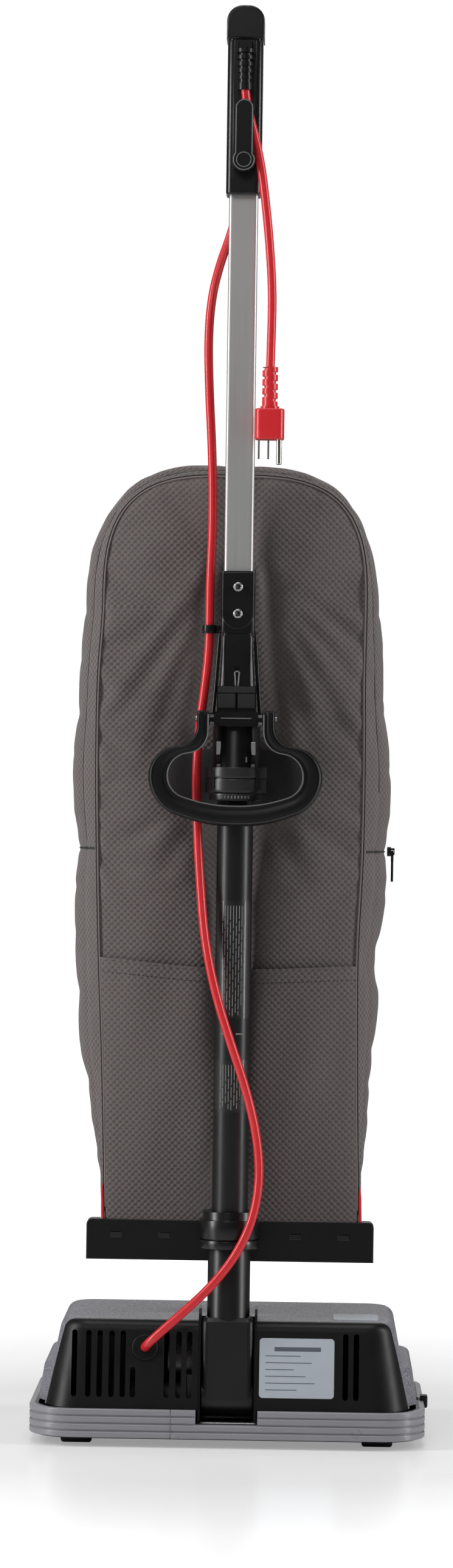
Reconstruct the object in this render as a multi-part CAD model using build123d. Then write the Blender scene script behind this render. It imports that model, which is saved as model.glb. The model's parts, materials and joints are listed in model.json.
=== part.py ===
"""Upright vacuum cleaner with a cloth outer bag, in millimetres.

+Z is up, +Y is the brush end, and the user stands on the -Y side. The origin is on the
floor, under the middle of the cleaner.
"""

import math
import os

from build123d import *

os.makedirs("parts", exist_ok=True)

# ---- Driving dimensions ---------------------------------------------------------------
TOTAL_HEIGHT = 1213.0
BASE_WIDTH = 335.0
BASE_DEPTH = 235.0
BUMPER_LOW, BUMPER_HIGH = 8.0, 32.0
BUMPER_THICK = 4.5
BUMPER_CORNER = 40.0
HOOD_LOW, HOOD_HIGH = 32.0, 105.0
HOOD_LOW_WIDTH, HOOD_TOP_WIDTH = 309.0, 281.0
HOOD_REAR_LOW, HOOD_REAR_TOP = -110.0, -98.0
HOOD_FRONT_LOW, HOOD_FRONT_TOP = 110.0, 56.0
SHELL = 2.6
PARTING_Y = -88.0

PIVOT_Y, PIVOT_Z = -84.0, 40.0
PIVOT_BARREL_RADIUS, PIVOT_BARREL_HALF = 19.0, 21.5
TRUNNION_RADIUS, TRUNNION_REACH = 12.0, 34.0
RUNNING_CLEARANCE = 0.08
CHANNEL_HALF, CHANNEL_WALL, CHANNEL_TOP = 24.6, 2.0, 115.0
CHANNEL_FRONT_Y = -60.0

FORK_RADIUS, FORK_TOP = 18.0, 180.0
TUBE_RADIUS, TUBE_WALL, TUBE_TOP = 15.25, 1.8, 552.0
COLLAR_RADIUS = 25.0
ELBOW_TOP, HINGE_Z = 606.0, 612.0
SOCKET_TOP, SCREW_Z = 737.0, (723.6, 701.0)
HANDLE_WIDTH, HANDLE_DEPTH, HANDLE_WALL = 24.6, 16.0, 1.5
HANDLE_LOW, HANDLE_HIGH = 690.0, 1080.0
GRIP_LOW, GRIP_WIDTH, GRIP_DEPTH = 1054.0, 30.0, 34.0
GRIP_REAR_Y = PIVOT_Y - GRIP_DEPTH / 2

LOOP_Y, LOOP_DEPTH = -109.0, 17.0
LOOP_PIN_Y, LOOP_PIN_RADIUS = -106.0, 2.5
HOOK_PIVOT_Z, HOOK_TOP_Z = 1081.0, 1132.0
HOOK_REACH = 11.0

BAG_BACK_Y, BAG_WALL = -55.0, 2.5
BAG_LOW = 184.0
RAIL_LOW, RAIL_HIGH, RAIL_WIDTH = 151.5, 186.0, 245.0
RAIL_BACK_Y, RAIL_FRONT_Y = -58.0, -41.0
ZIP_Z = 501.0

WHEEL_RADIUS, WHEEL_WIDTH, WHEEL_X, WHEEL_Y = 17.0, 26.0, 127.0, -88.0
AXLE_RADIUS = 3.0
MOTOR_Y, MOTOR_Z, MOTOR_RADIUS = 4.0, 58.0, 40.0
SHAFT_RADIUS, PULLEY_RADIUS = 4.0, 9.0
BRUSH_Y, BRUSH_Z, BRUSH_CORE, BRISTLE_RADIUS = 70.0, 27.5, 15.0, 24.5
BRUSH_HALF = 146.0
BELT_X, BELT_WIDTH, BELT_THICK, BELT_GAP = 66.0, 10.0, 1.6, 0.2

CORD_RADIUS = 3.75
FEED_EXIT = (-69.6, -102.6, 82.5)
SWITCH_PIN_Y, SWITCH_Z = -73.0, 1152.0


# ---- Small shape helpers --------------------------------------------------------------
def span(x0, x1, y0, y1, z0, z1):
    """A box between two corners."""
    centre = Pos((x0 + x1) / 2, (y0 + y1) / 2, (z0 + z1) / 2)
    return centre * Box(x1 - x0, y1 - y0, z1 - z0)


def x_rod(radius, x0, x1, y, z):
    return Pos((x0 + x1) / 2, y, z) * Rot(0, 90, 0) * Cylinder(radius, x1 - x0)


def y_rod(radius, y0, y1, x, z):
    return Pos(x, (y0 + y1) / 2, z) * Rot(90, 0, 0) * Cylinder(radius, y1 - y0)


def z_rod(radius, z0, z1, x=0.0, y=PIVOT_Y):
    return Pos(x, y, (z0 + z1) / 2) * Cylinder(radius, z1 - z0)


def rounded_prism(width, depth, corner, z0, z1, y=0.0, x=0.0):
    return extrude(Plane((x, y, z0)) * RectangleRounded(width, depth, corner), z1 - z0)


def rounded_loft(*levels):
    """A loft through level rounded rectangles: (width, rear y, front y, corner, z)."""
    outlines = []
    for width, rear, front, corner, z in levels:
        outline = RectangleRounded(width, front - rear, corner)
        outlines.append(Plane((0, (rear + front) / 2, z)) * outline)
    return loft(outlines)


def both_sides(piece):
    return [piece, mirror(piece, Plane.YZ)]


def save(name, *pieces):
    shape = pieces[0] if len(pieces) == 1 else Compound(children=list(pieces))
    export_step(shape, f"parts/{name}.step")


# ---- Base: chassis, bumper and bottom plate -------------------------------------------
CHASSIS_WIDTH = BASE_WIDTH - 2 * BUMPER_THICK
CHASSIS_DEPTH = BASE_DEPTH - 2 * BUMPER_THICK
CHASSIS_CORNER = BUMPER_CORNER - BUMPER_THICK
FLOOR_LOW, FLOOR_HIGH = 7.0, 10.0
NOTCH_HALF, NOTCH_LOW = 26.0, 20.0
MOUTH_HALF, MOUTH_REAR, MOUTH_FRONT = 148.0, 42.5, 98.0
LATCH_Y = -20.0
GUARD_BARS = (-105, -63, -21, 21, 63, 105)


def duct_mouth():
    return span(-125, -92, MOUTH_REAR - 8, MOUTH_REAR + 2, FLOOR_HIGH + 2, BRUSH_Z)


def make_chassis():
    wall = 3.0
    tray = rounded_prism(CHASSIS_WIDTH, CHASSIS_DEPTH, CHASSIS_CORNER, FLOOR_LOW, HOOD_LOW)
    tray -= rounded_prism(
        CHASSIS_WIDTH - 2 * wall, CHASSIS_DEPTH - 2 * wall, CHASSIS_CORNER - wall, FLOOR_HIGH, HOOD_LOW
    )
    tray -= span(-MOUTH_HALF, MOUTH_HALF, MOUTH_REAR, MOUTH_FRONT, 0, FLOOR_HIGH)
    tray -= span(-NOTCH_HALF, NOTCH_HALF, -BASE_DEPTH, -BASE_DEPTH / 2 + 20, NOTCH_LOW, 60)
    slot_half, wheel_gap = WHEEL_WIDTH / 2 + 2, WHEEL_RADIUS + 1.5
    boss_y = (WHEEL_Y - 6, WHEEL_Y + 6)
    for side in (-1, 1):
        x = side * WHEEL_X
        tray -= span(x - slot_half, x + slot_half, WHEEL_Y - wheel_gap, WHEEL_Y + wheel_gap, 0, FLOOR_HIGH)
        for edge in (x - slot_half - 3, x + slot_half):
            tray += span(edge, edge + 3, *boss_y, FLOOR_HIGH, WHEEL_RADIUS + 7)
    # A cross rib closes the brush chamber at the back, except where the intake duct opens.
    tray += span(-150, 150, MOUTH_REAR - 3, MOUTH_REAR, FLOOR_HIGH, BRUSH_Z + 2)
    tray -= duct_mouth()
    tray -= span(BELT_X - 8, BELT_X + 8, MOUTH_REAR - 5, MOUTH_REAR + 2, FLOOR_HIGH, BRUSH_Z + 3)
    tray -= x_rod(AXLE_RADIUS, -160, 160, WHEEL_Y, WHEEL_RADIUS)
    tray -= span(155, 170, LATCH_Y - 14, LATCH_Y + 8, 26, HOOD_LOW)
    return tray


def make_bumper():
    bands, groove, groove_depth = 4, 1.0, 1.3
    height = (BUMPER_HIGH - BUMPER_LOW - (bands - 1) * groove) / bands
    ring = rounded_prism(
        BASE_WIDTH - 2 * groove_depth,
        BASE_DEPTH - 2 * groove_depth,
        BUMPER_CORNER - groove_depth,
        BUMPER_LOW,
        BUMPER_HIGH,
    )
    for band in range(bands):
        low = BUMPER_LOW + band * (height + groove)
        strip = rounded_prism(BASE_WIDTH, BASE_DEPTH, BUMPER_CORNER, low, low + height)
        rims = strip.edges().group_by(Axis.Z)
        strip = fillet(rims[0] + rims[-1], 1.2)
        ring += strip
    ring -= rounded_prism(CHASSIS_WIDTH, CHASSIS_DEPTH, CHASSIS_CORNER, BUMPER_LOW, BUMPER_HIGH)
    ring -= span(-NOTCH_HALF, NOTCH_HALF, -BASE_DEPTH, 0, NOTCH_LOW, 60)
    ring -= span(160, 180, LATCH_Y - 14, LATCH_Y + 8, 24, 60)
    # The strip's two ends meet at the back, left of the pivot.
    ring -= span(-47.3, -46.7, -BASE_DEPTH, 0, 0, 60)
    return ring


def make_bottom_plate():
    thick = 1.2
    low = FLOOR_LOW - thick
    plate = Pos(0, 42, low) * extrude(RectangleRounded(300, 124, 12), thick)
    opening = span(-142, 142, MOUTH_REAR + 1, MOUTH_FRONT - 2, 0, FLOOR_LOW)
    for x in GUARD_BARS:
        opening -= span(x - 2, x + 2, MOUTH_REAR, MOUTH_FRONT, 0, FLOOR_LOW)
    return plate - opening


def make_latch():
    knob = span(164.6, 171.0, LATCH_Y - 10, LATCH_Y, 25.5, 36)
    knob = fillet(knob.faces().sort_by(Axis.X)[-1].edges(), 1.6)
    stem = span(152, 164.6, LATCH_Y - 8, LATCH_Y - 2, 28, 31)
    hook = span(152, 155, LATCH_Y - 8, LATCH_Y + 4, 12, 31)
    return knob + stem + hook


# ---- Base: hood, rear motor cover and pivot channel -----------------------------------
def body_blank(inset=0.0):
    """The outer form of the hood and the rear cover together, or their hollow."""
    drop = inset * 1.15
    blank = rounded_loft(
        (HOOD_LOW_WIDTH - 2 * inset, HOOD_REAR_LOW + inset, HOOD_FRONT_LOW - inset, 30 - inset, HOOD_LOW),
        (HOOD_TOP_WIDTH - 2 * inset, HOOD_REAR_TOP + inset, HOOD_FRONT_TOP - inset, 24 - inset, HOOD_HIGH - drop),
    )
    return fillet(blank.edges().group_by(Axis.Z)[-1], 10 - inset)


def skirt_blank(inset=0.0):
    """The lower flare along the hood's sides and front."""
    blank = rounded_loft(
        (323 - 2 * inset, -80 + inset, 112.5 - inset, 34 - inset, HOOD_LOW),
        (313 - 2 * inset, -76 + inset, 104 - inset, 30 - inset, 64 - inset),
    )
    return fillet(blank.edges().group_by(Axis.Z)[-1], 5 - inset)


def channel_gap():
    return span(-CHANNEL_HALF, CHANNEL_HALF, -BASE_DEPTH, CHANNEL_FRONT_Y, 0, 200)


def make_hood():
    outer = body_blank() + skirt_blank()
    inner = body_blank(SHELL) + skirt_blank(SHELL)
    hood = outer - inner
    hood -= span(-200, 200, -BASE_DEPTH, PARTING_Y, 0, 200)
    hood -= channel_gap()
    return hood


VENT_X = (-129, -117, -107.5, -97.5, -88, -51, -41, -32, 99.5, 108.5)
SHORT_VENT_X = -79.5
VENT_WIDTH, VENT_LOW, VENT_HIGH = 4.6, 41.0, 96.0
GROMMET_X, GROMMET_Z, GROMMET_RADIUS = -69.6, 82.5, 7.6
REAR_SLOPE = math.atan2(HOOD_REAR_TOP - HOOD_REAR_LOW, HOOD_HIGH - HOOD_LOW)
REAR_NORMAL = (0, -math.cos(REAR_SLOPE), math.sin(REAR_SLOPE))


def rear_y(z):
    """The rear cover's outer surface at a height."""
    share = (z - HOOD_LOW) / (HOOD_HIGH - HOOD_LOW)
    return HOOD_REAR_LOW + share * (HOOD_REAR_TOP - HOOD_REAR_LOW)


def rear_plane(x, z):
    """A plane on the rear cover: its x is the cleaner's X and its normal points out."""
    return Plane(origin=(x, rear_y(z), z), x_dir=(1, 0, 0), z_dir=REAR_NORMAL)


def vent_cutter(x, low, high):
    outline = Plane((x, -BASE_DEPTH, (low + high) / 2), z_dir=(0, 1, 0), x_dir=(0, 0, 1)) * SlotOverall(
        high - low, VENT_WIDTH
    )
    return extrude(outline, BASE_DEPTH + PARTING_Y)


def pivot_channel():
    """Two side walls and a front wall round the wand's foot; the walls stand above the hood."""
    low, inner = NOTCH_LOW + 2, CHANNEL_HALF - CHANNEL_WALL
    profile = Polyline(
        (rear_y(low) + 3, low),
        (CHANNEL_FRONT_Y, low),
        (CHANNEL_FRONT_Y, HOOD_HIGH - 3),
        (CHANNEL_FRONT_Y - 9, CHANNEL_TOP),
        (HOOD_REAR_TOP + 5, CHANNEL_TOP),
        (HOOD_REAR_TOP + 1, CHANNEL_TOP - 4),
        close=True,
    )
    side = Plane(origin=(-CHANNEL_HALF, 0, 0), x_dir=(0, 1, 0), z_dir=(1, 0, 0))
    channel = extrude(side * make_face(profile), 2 * CHANNEL_HALF)
    channel -= span(-inner, inner, -BASE_DEPTH, CHANNEL_FRONT_Y - CHANNEL_WALL, 0, 200)
    return channel - x_rod(TRUNNION_RADIUS + 0.5, -40, 40, PIVOT_Y, PIVOT_Z)


def make_rear_cover():
    cover = body_blank() - body_blank(SHELL)
    cover &= span(-200, 200, -BASE_DEPTH, PARTING_Y, 0, 200)
    cover -= channel_gap()
    for x in VENT_X:
        cover -= vent_cutter(x, VENT_LOW, VENT_HIGH)
    cover -= vent_cutter(SHORT_VENT_X, VENT_LOW, 66)
    cover -= y_rod(GROMMET_RADIUS, -BASE_DEPTH, PARTING_Y, GROMMET_X, GROMMET_Z)
    return cover + pivot_channel()


def make_pivot_bearings():
    block = span(CHANNEL_HALF + 0.2, TRUNNION_REACH, -101, -67, FLOOR_HIGH, 60)
    block -= x_rod(TRUNNION_RADIUS + RUNNING_CLEARANCE, 0, 60, PIVOT_Y, PIVOT_Z)
    block -= x_rod(AXLE_RADIUS, 0, 60, WHEEL_Y, WHEEL_RADIUS)
    return both_sides(block)


def make_grommet():
    plane_y = rear_y(GROMMET_Z)
    seat = Plane(FEED_EXIT, z_dir=REAR_NORMAL)
    bore = extrude(seat * Circle(CORD_RADIUS + 0.25), 20) + extrude(seat * Circle(CORD_RADIUS + 0.25), -0.25)
    bore += extrude(seat * Circle(CORD_RADIUS - 0.75), -20)
    flange = extrude(rear_plane(GROMMET_X, GROMMET_Z) * Circle(10.8), 2.4)
    flange = fillet(flange.edges().sort_by(Axis.Y)[0], 1.0)
    neck = y_rod(GROMMET_RADIUS, plane_y - 1, plane_y + SHELL + 4, GROMMET_X, GROMMET_Z)
    tail = y_rod(GROMMET_RADIUS + 2, plane_y + SHELL + 2, plane_y + SHELL + 4, GROMMET_X, GROMMET_Z)
    return flange + neck + tail - bore


def make_label(x0, x1, z0, z1):
    face = rear_plane((x0 + x1) / 2, (z0 + z1) / 2)
    return extrude(face * RectangleRounded(x1 - x0, z1 - z0, 3), 0.4)


# ---- Base: running gear ---------------------------------------------------------------
def make_rear_axle():
    return x_rod(AXLE_RADIUS, -145, 145, WHEEL_Y, WHEEL_RADIUS)


def make_wheel(side):
    x = side * WHEEL_X
    half = WHEEL_WIDTH / 2
    wheel = x_rod(WHEEL_RADIUS, x - half, x + half, WHEEL_Y, WHEEL_RADIUS)
    wheel = fillet(wheel.edges().filter_by(GeomType.CIRCLE), 2.5)
    return wheel - x_rod(AXLE_RADIUS + RUNNING_CLEARANCE, x - 20, x + 20, WHEEL_Y, WHEEL_RADIUS)


def make_glides():
    glide = z_rod(11, 0, FLOOR_LOW - 1.2, 118, 14)
    glide = fillet(glide.edges().sort_by(Axis.Z)[0], 1.5)
    return both_sides(glide)


# ---- Base: motor, fan, ducts, belt and brush ------------------------------------------
def make_motor_can():
    can = x_rod(MOTOR_RADIUS, -52, 52, MOTOR_Y, MOTOR_Z)
    can -= x_rod(MOTOR_RADIUS - 2.5, -49, 49, MOTOR_Y, MOTOR_Z)
    can -= x_rod(SHAFT_RADIUS + RUNNING_CLEARANCE, -60, 60, MOTOR_Y, MOTOR_Z)
    for turn in range(0, 360, 45):
        hole = Pos(0, 27 * math.cos(math.radians(turn)), 27 * math.sin(math.radians(turn)))
        can -= hole * x_rod(5, 45, 60, MOTOR_Y, MOTOR_Z)
    return can


def make_stator():
    ring = x_rod(MOTOR_RADIUS - 2.5, -22, 22, MOTOR_Y, MOTOR_Z)
    return ring - x_rod(22.5, -30, 30, MOTOR_Y, MOTOR_Z)


def make_armature():
    core = x_rod(21.5, -22, 22, MOTOR_Y, MOTOR_Z)
    for turn in range(0, 360, 30):
        spot = Pos(0, 21 * math.cos(math.radians(turn)), 21 * math.sin(math.radians(turn)))
        core -= spot * x_rod(2.2, -30, 30, MOTOR_Y, MOTOR_Z)
    commutator = x_rod(12, 28, 40, MOTOR_Y, MOTOR_Z)
    shaft = x_rod(SHAFT_RADIUS, -86, BELT_X + 9, MOTOR_Y, MOTOR_Z)
    pulley = x_rod(PULLEY_RADIUS, BELT_X - 8, BELT_X + 8, MOTOR_Y, MOTOR_Z)
    return core + commutator + shaft + pulley


def make_fan():
    fan = x_rod(34, -66, -64, MOTOR_Y, MOTOR_Z) + x_rod(9, -84, -64, MOTOR_Y, MOTOR_Z)
    blade = span(-82, -66, -1, 1, 8, 33)
    for turn in range(0, 360, 60):
        fan += Pos(0, MOTOR_Y, MOTOR_Z) * Rot(turn, 0, 0) * blade
    return fan - x_rod(SHAFT_RADIUS, -90, -60, MOTOR_Y, MOTOR_Z)


FAN_EYE = 18.0
DUCT_X, DUCT_RADIUS = -73.0, 11.0


def make_fan_housing():
    housing = x_rod(42, -89, -56, MOTOR_Y, MOTOR_Z) - x_rod(39.5, -86.5, -58.5, MOTOR_Y, MOTOR_Z)
    housing -= x_rod(FAN_EYE, -95, -80, MOTOR_Y, MOTOR_Z)
    housing -= x_rod(SHAFT_RADIUS + 0.5, -60, -50, MOTOR_Y, MOTOR_Z)
    housing -= y_rod(DUCT_RADIUS - 2, -60, -20, DUCT_X, PIVOT_Z)
    return housing


def duct_path(start_y, end_x):
    """From the fan housing back to the hollow left trunnion."""
    return FilletPolyline(
        (DUCT_X, start_y, PIVOT_Z), (DUCT_X, PIVOT_Y, PIVOT_Z), (end_x, PIVOT_Y, PIVOT_Z), radius=15
    )


def make_outlet_duct():
    outer_path = duct_path(-28, -TRUNNION_REACH - 0.5)
    inner_path = duct_path(-24, -TRUNNION_REACH + 4)
    outer = sweep(Plane(outer_path @ 0, z_dir=outer_path % 0) * Circle(DUCT_RADIUS), path=outer_path)
    inner = sweep(Plane(inner_path @ 0, z_dir=inner_path % 0) * Circle(DUCT_RADIUS - 2), path=inner_path)
    return outer - inner - x_rod(42, -95, -50, MOTOR_Y, MOTOR_Z)


def make_intake_duct():
    wall = 2.0
    rear, front, top = -18, MOUTH_REAR - 3, 82
    duct = span(-128, -89, rear, front, FLOOR_HIGH, top)
    duct -= span(-128 + wall, -89 - wall, rear + wall, front - wall, FLOOR_HIGH + wall, top - wall)
    duct -= x_rod(FAN_EYE, -95, -80, MOTOR_Y, MOTOR_Z)
    return duct - duct_mouth()


def make_brush_chamber():
    wall = 2.0
    outer = x_rod(29.5, -152, 152, BRUSH_Y, BRUSH_Z + 2) - x_rod(27.5, -150, 150, BRUSH_Y, BRUSH_Z + 2)
    outer -= span(-160, 160, 0, 140, 0, BRUSH_Z + 2)
    for x0 in (-152, 152 - wall):
        outer += span(x0, x0 + wall, BRUSH_Y - 26, BRUSH_Y + 26, FLOOR_HIGH, BRUSH_Z + 2)
    # The front corners are cut back to clear the hood's rounded corners.
    for side in (-1, 1):
        outer -= Pos(side * 152, BRUSH_Y + 29.5, 40) * Rot(0, 0, 45) * Box(14, 14, 80)
    return outer - span(BELT_X - 8, BELT_X + 8, 0, BRUSH_Y + 6, 0, 70)


def make_brush_core():
    core = x_rod(BRUSH_CORE, -BRUSH_HALF, BRUSH_HALF, BRUSH_Y, BRUSH_Z)
    groove = x_rod(BRUSH_CORE + 1, BELT_X - 7, BELT_X + 7, BRUSH_Y, BRUSH_Z)
    core -= groove - x_rod(BRUSH_CORE - 1.5, BELT_X - 8, BELT_X + 8, BRUSH_Y, BRUSH_Z)
    stub = x_rod(4, -BRUSH_HALF - 3, BRUSH_HALF + 3, BRUSH_Y, BRUSH_Z)
    return core + stub


def make_bristles():
    """Two opposed helical rows, each as short straight tufts set into the core."""
    tufts, turns = 34, 0.75
    pitch = 2 * (BRUSH_HALF - 8) / (tufts - 1)
    rows = []
    for row in range(2):
        for number in range(tufts):
            x = -BRUSH_HALF + 8 + number * pitch
            at_bar = any(abs(x - bar) < 5 for bar in GUARD_BARS)
            if at_bar or abs(x - BELT_X) < 12:
                continue
            angle = 360 * (row / 2 + turns * number / tufts)
            tuft = Pos(0, 0, (BRUSH_CORE + BRISTLE_RADIUS) / 2 + 0.05) * Box(5, 3.6, BRISTLE_RADIUS - BRUSH_CORE)
            rows.append(Pos(x, BRUSH_Y, BRUSH_Z) * Rot(angle, 0, 0) * tuft)
    return rows


def make_brush_bearings():
    block = span(146.3, 150, BRUSH_Y - 9, BRUSH_Y + 9, 18, 38)
    block -= x_rod(4 + RUNNING_CLEARANCE, 140, 160, BRUSH_Y, BRUSH_Z)
    return both_sides(block)


def belt_loop(extra):
    """The belt's side outline, around both pulleys."""
    at_motor = Pos(MOTOR_Y, MOTOR_Z) * Circle(PULLEY_RADIUS + extra)
    at_brush = Pos(BRUSH_Y, BRUSH_Z) * Circle(BRUSH_CORE - 1.5 + extra)
    return make_hull(at_motor.edges() + at_brush.edges())


def make_belt():
    side = Plane(origin=(BELT_X - BELT_WIDTH / 2, 0, 0), x_dir=(0, 1, 0), z_dir=(1, 0, 0))
    ring = belt_loop(BELT_GAP + BELT_THICK) - belt_loop(BELT_GAP)
    return extrude(side * ring, BELT_WIDTH)


def make_edge_brushes():
    strip = span(155.5, 158.5, -10, 90, 1.5, FLOOR_LOW)
    return both_sides(strip)


def make_base_screws():
    screws = []
    for x, y in ((-140, -50), (140, -50), (-90, -65), (90, -65), (0, -45)):
        head = z_rod(4, FLOOR_LOW - 2.0, FLOOR_LOW, x, y)
        screws.append(fillet(head.edges().sort_by(Axis.Z)[0], 0.8))
    return screws


def make_motor_mounts():
    mounts = []
    for x in (-40, 34):
        saddle = span(x, x + 10, MOTOR_Y - 24, MOTOR_Y + 24, FLOOR_HIGH, 44)
        mounts.append(saddle - x_rod(MOTOR_RADIUS, -60, 60, MOTOR_Y, MOTOR_Z))
    return mounts


# ---- Wand: air path -------------------------------------------------------------------
def make_fork():
    fork = z_rod(FORK_RADIUS, PIVOT_Z, FORK_TOP)
    fork += x_rod(PIVOT_BARREL_RADIUS, -PIVOT_BARREL_HALF, PIVOT_BARREL_HALF, PIVOT_Y, PIVOT_Z)
    fork += x_rod(TRUNNION_RADIUS, -TRUNNION_REACH, TRUNNION_REACH, PIVOT_Y, PIVOT_Z)
    # A square shroud with sloped shoulders joins the round tube to the barrel.
    shroud = span(-21.4, 21.4, PIVOT_Y - PIVOT_BARREL_RADIUS, PIVOT_Y + 12, PIVOT_Z, 108)
    shroud = fillet(shroud.edges().filter_by(Axis.Z), 5)
    fork += chamfer(shroud.edges().group_by(Axis.Z)[-1], 3.2)
    fork -= z_rod(TUBE_RADIUS - TUBE_WALL, PIVOT_Z, FORK_TOP)
    fork -= x_rod(DUCT_RADIUS - 2, -TRUNNION_REACH, 0, PIVOT_Y, PIVOT_Z)
    return fork


def make_lower_collar():
    collar = z_rod(COLLAR_RADIUS, 174, 190) + z_rod(COLLAR_RADIUS + 0.5, 166, 173) + z_rod(22.5, 173, 197)
    collar -= z_rod(FORK_RADIUS, 160, FORK_TOP) + z_rod(TUBE_RADIUS, FORK_TOP, 200)
    # A tongue reaches forward to hold the bag's bottom rail.
    tongue = span(-9, 9, PIVOT_Y + 20, RAIL_BACK_Y, 168, 182)
    return collar + (tongue - z_rod(22, 160, 200))


def make_fill_tube():
    return z_rod(TUBE_RADIUS, FORK_TOP, TUBE_TOP) - z_rod(TUBE_RADIUS - TUBE_WALL, FORK_TOP, TUBE_TOP)


def make_tube_labels():
    labels = []
    for low, high in ((360, 459), (281, 325)):
        ring = z_rod(TUBE_RADIUS + 0.3, low, high) - z_rod(TUBE_RADIUS, low, high)
        labels.append(ring & span(-14, 14, PIVOT_Y - 20, PIVOT_Y - 4, 0, 600))
    return labels


SPOUT_Z, SPOUT_RADIUS, SPOUT_END_Y = 583.0, 20.0, -34.0


def make_elbow():
    elbow = z_rod(18.5, 545, 551) + z_rod(COLLAR_RADIUS, 550, 571) + z_rod(20, 571, ELBOW_TOP)
    elbow += y_rod(SPOUT_RADIUS, PIVOT_Y, SPOUT_END_Y, 0, SPOUT_Z)
    elbow -= z_rod(TUBE_RADIUS, 540, TUBE_TOP) + z_rod(TUBE_RADIUS - TUBE_WALL, TUBE_TOP, SPOUT_Z)
    elbow -= y_rod(SPOUT_RADIUS - 2.2, PIVOT_Y, SPOUT_END_Y, 0, SPOUT_Z)
    for x in (-17.5, 17.5):
        elbow -= span(x - 2, x + 2, PIVOT_Y - 30, PIVOT_Y - 14, 554, 566)
    return elbow


def make_bag_collar():
    """The ring on the spout that carries the bags."""
    ring = y_rod(27, BAG_BACK_Y + BAG_WALL, BAG_BACK_Y + BAG_WALL + 5, 0, SPOUT_Z)
    return ring - y_rod(SPOUT_RADIUS, -100, 0, 0, SPOUT_Z)


# ---- Wand: handle ---------------------------------------------------------------------
LUG_X0, LUG_X1 = 18.0, 22.7


def make_socket():
    neck = rounded_loft(
        (33, PIVOT_Y - 13, PIVOT_Y + 13, 4, ELBOW_TOP), (24.6, PIVOT_Y - 9.5, PIVOT_Y + 11.5, 3, 685)
    )
    ferrule = rounded_prism(28.6, 22, 3, 685, SOCKET_TOP, PIVOT_Y)
    socket = neck + ferrule
    # A rear boss plate, round at its lower end, takes the two screws.
    plate = span(-13.2, 13.2, PIVOT_Y - 12.5, PIVOT_Y - 8, 701, SOCKET_TOP - 1)
    plate += y_rod(13.2, PIVOT_Y - 12.5, PIVOT_Y - 8, 0, 701)
    socket += fillet(plate.faces().sort_by(Axis.Y)[0].edges(), 0.7)
    socket += span(-16.5, 16.5, PIVOT_Y - 16, PIVOT_Y - 8, HINGE_Z, 640)
    socket += span(-LUG_X0, LUG_X0, LOOP_PIN_Y - 6, PIVOT_Y - 8, HINGE_Z - 6, HINGE_Z + 6)
    for side in (-1, 1):
        lug = span(LUG_X0, LUG_X1, LOOP_PIN_Y - 5, PIVOT_Y + 2, HINGE_Z - 5, HINGE_Z + 5)
        socket += lug if side > 0 else mirror(lug, Plane.YZ)
    socket -= x_rod(LOOP_PIN_RADIUS, -40, 40, LOOP_PIN_Y, HINGE_Z)
    # A keyhole slot runs down the middle of the neck.
    socket -= span(-0.7, 0.7, PIVOT_Y - 20, PIVOT_Y - 9.5, HINGE_Z + 7, 655)
    socket -= y_rod(1.9, PIVOT_Y - 20, PIVOT_Y - 9.5, 0, 655)
    pocket = rounded_prism(HANDLE_WIDTH, HANDLE_DEPTH, 3, HANDLE_LOW, SOCKET_TOP, PIVOT_Y)
    socket -= pocket
    for z in SCREW_Z:
        socket -= y_rod(2.0, PIVOT_Y - 20, PIVOT_Y, 0, z)
    return socket


def make_socket_screws():
    screws = []
    for z in SCREW_Z:
        head = y_rod(4.0, PIVOT_Y - 14.5, PIVOT_Y - 12.5, 0, z)
        head = fillet(head.edges().sort_by(Axis.Y)[0], 0.9)
        for width, height in ((5, 1), (1, 5)):
            head -= Pos(0, PIVOT_Y - 14.5, z) * Box(width, 1.6, height)
        screws.append(head + y_rod(1.9, PIVOT_Y - 12.5, PIVOT_Y - 7, 0, z))
    return screws


def make_handle_tube():
    tube = rounded_prism(HANDLE_WIDTH, HANDLE_DEPTH, 3, HANDLE_LOW, HANDLE_HIGH, PIVOT_Y)
    tube -= rounded_prism(
        HANDLE_WIDTH - 2 * HANDLE_WALL, HANDLE_DEPTH - 2 * HANDLE_WALL, 1.5, HANDLE_LOW, HANDLE_HIGH, PIVOT_Y
    )
    for z in SCREW_Z:
        tube -= y_rod(2.0, PIVOT_Y - 20, PIVOT_Y, 0, z)
    return tube


RELIEF_TOP, RELIEF_LOW, RELIEF_Y = 1182.0, 1140.0, -109.0


def grip_blank():
    body = rounded_prism(GRIP_WIDTH, GRIP_DEPTH, 6, GRIP_LOW, 1186, PIVOT_Y)
    body = fillet(body.edges().group_by(Axis.Z)[0], 2)
    dome = span(-16, 16, GRIP_REAR_Y - 1, GRIP_REAR_Y + GRIP_DEPTH + 1, 1184.5, TOTAL_HEIGHT)
    shoulders = dome.edges().filter_by(Axis.Y).group_by(Axis.Z)
    dome = fillet(shoulders[-1], 13.5)
    dome = fillet(dome.faces().sort_by(Axis.Y)[0].edges() + dome.faces().sort_by(Axis.Y)[-1].edges(), 1.8)
    # A narrow waist parts the dome from the body.
    waist = span(-20, 20, PIVOT_Y - 30, PIVOT_Y + 30, 1183.2, 1184.5)
    waist -= rounded_prism(GRIP_WIDTH - 2.4, GRIP_DEPTH - 2.4, 5, 1180, 1190, PIVOT_Y)
    return body + dome - waist


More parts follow.
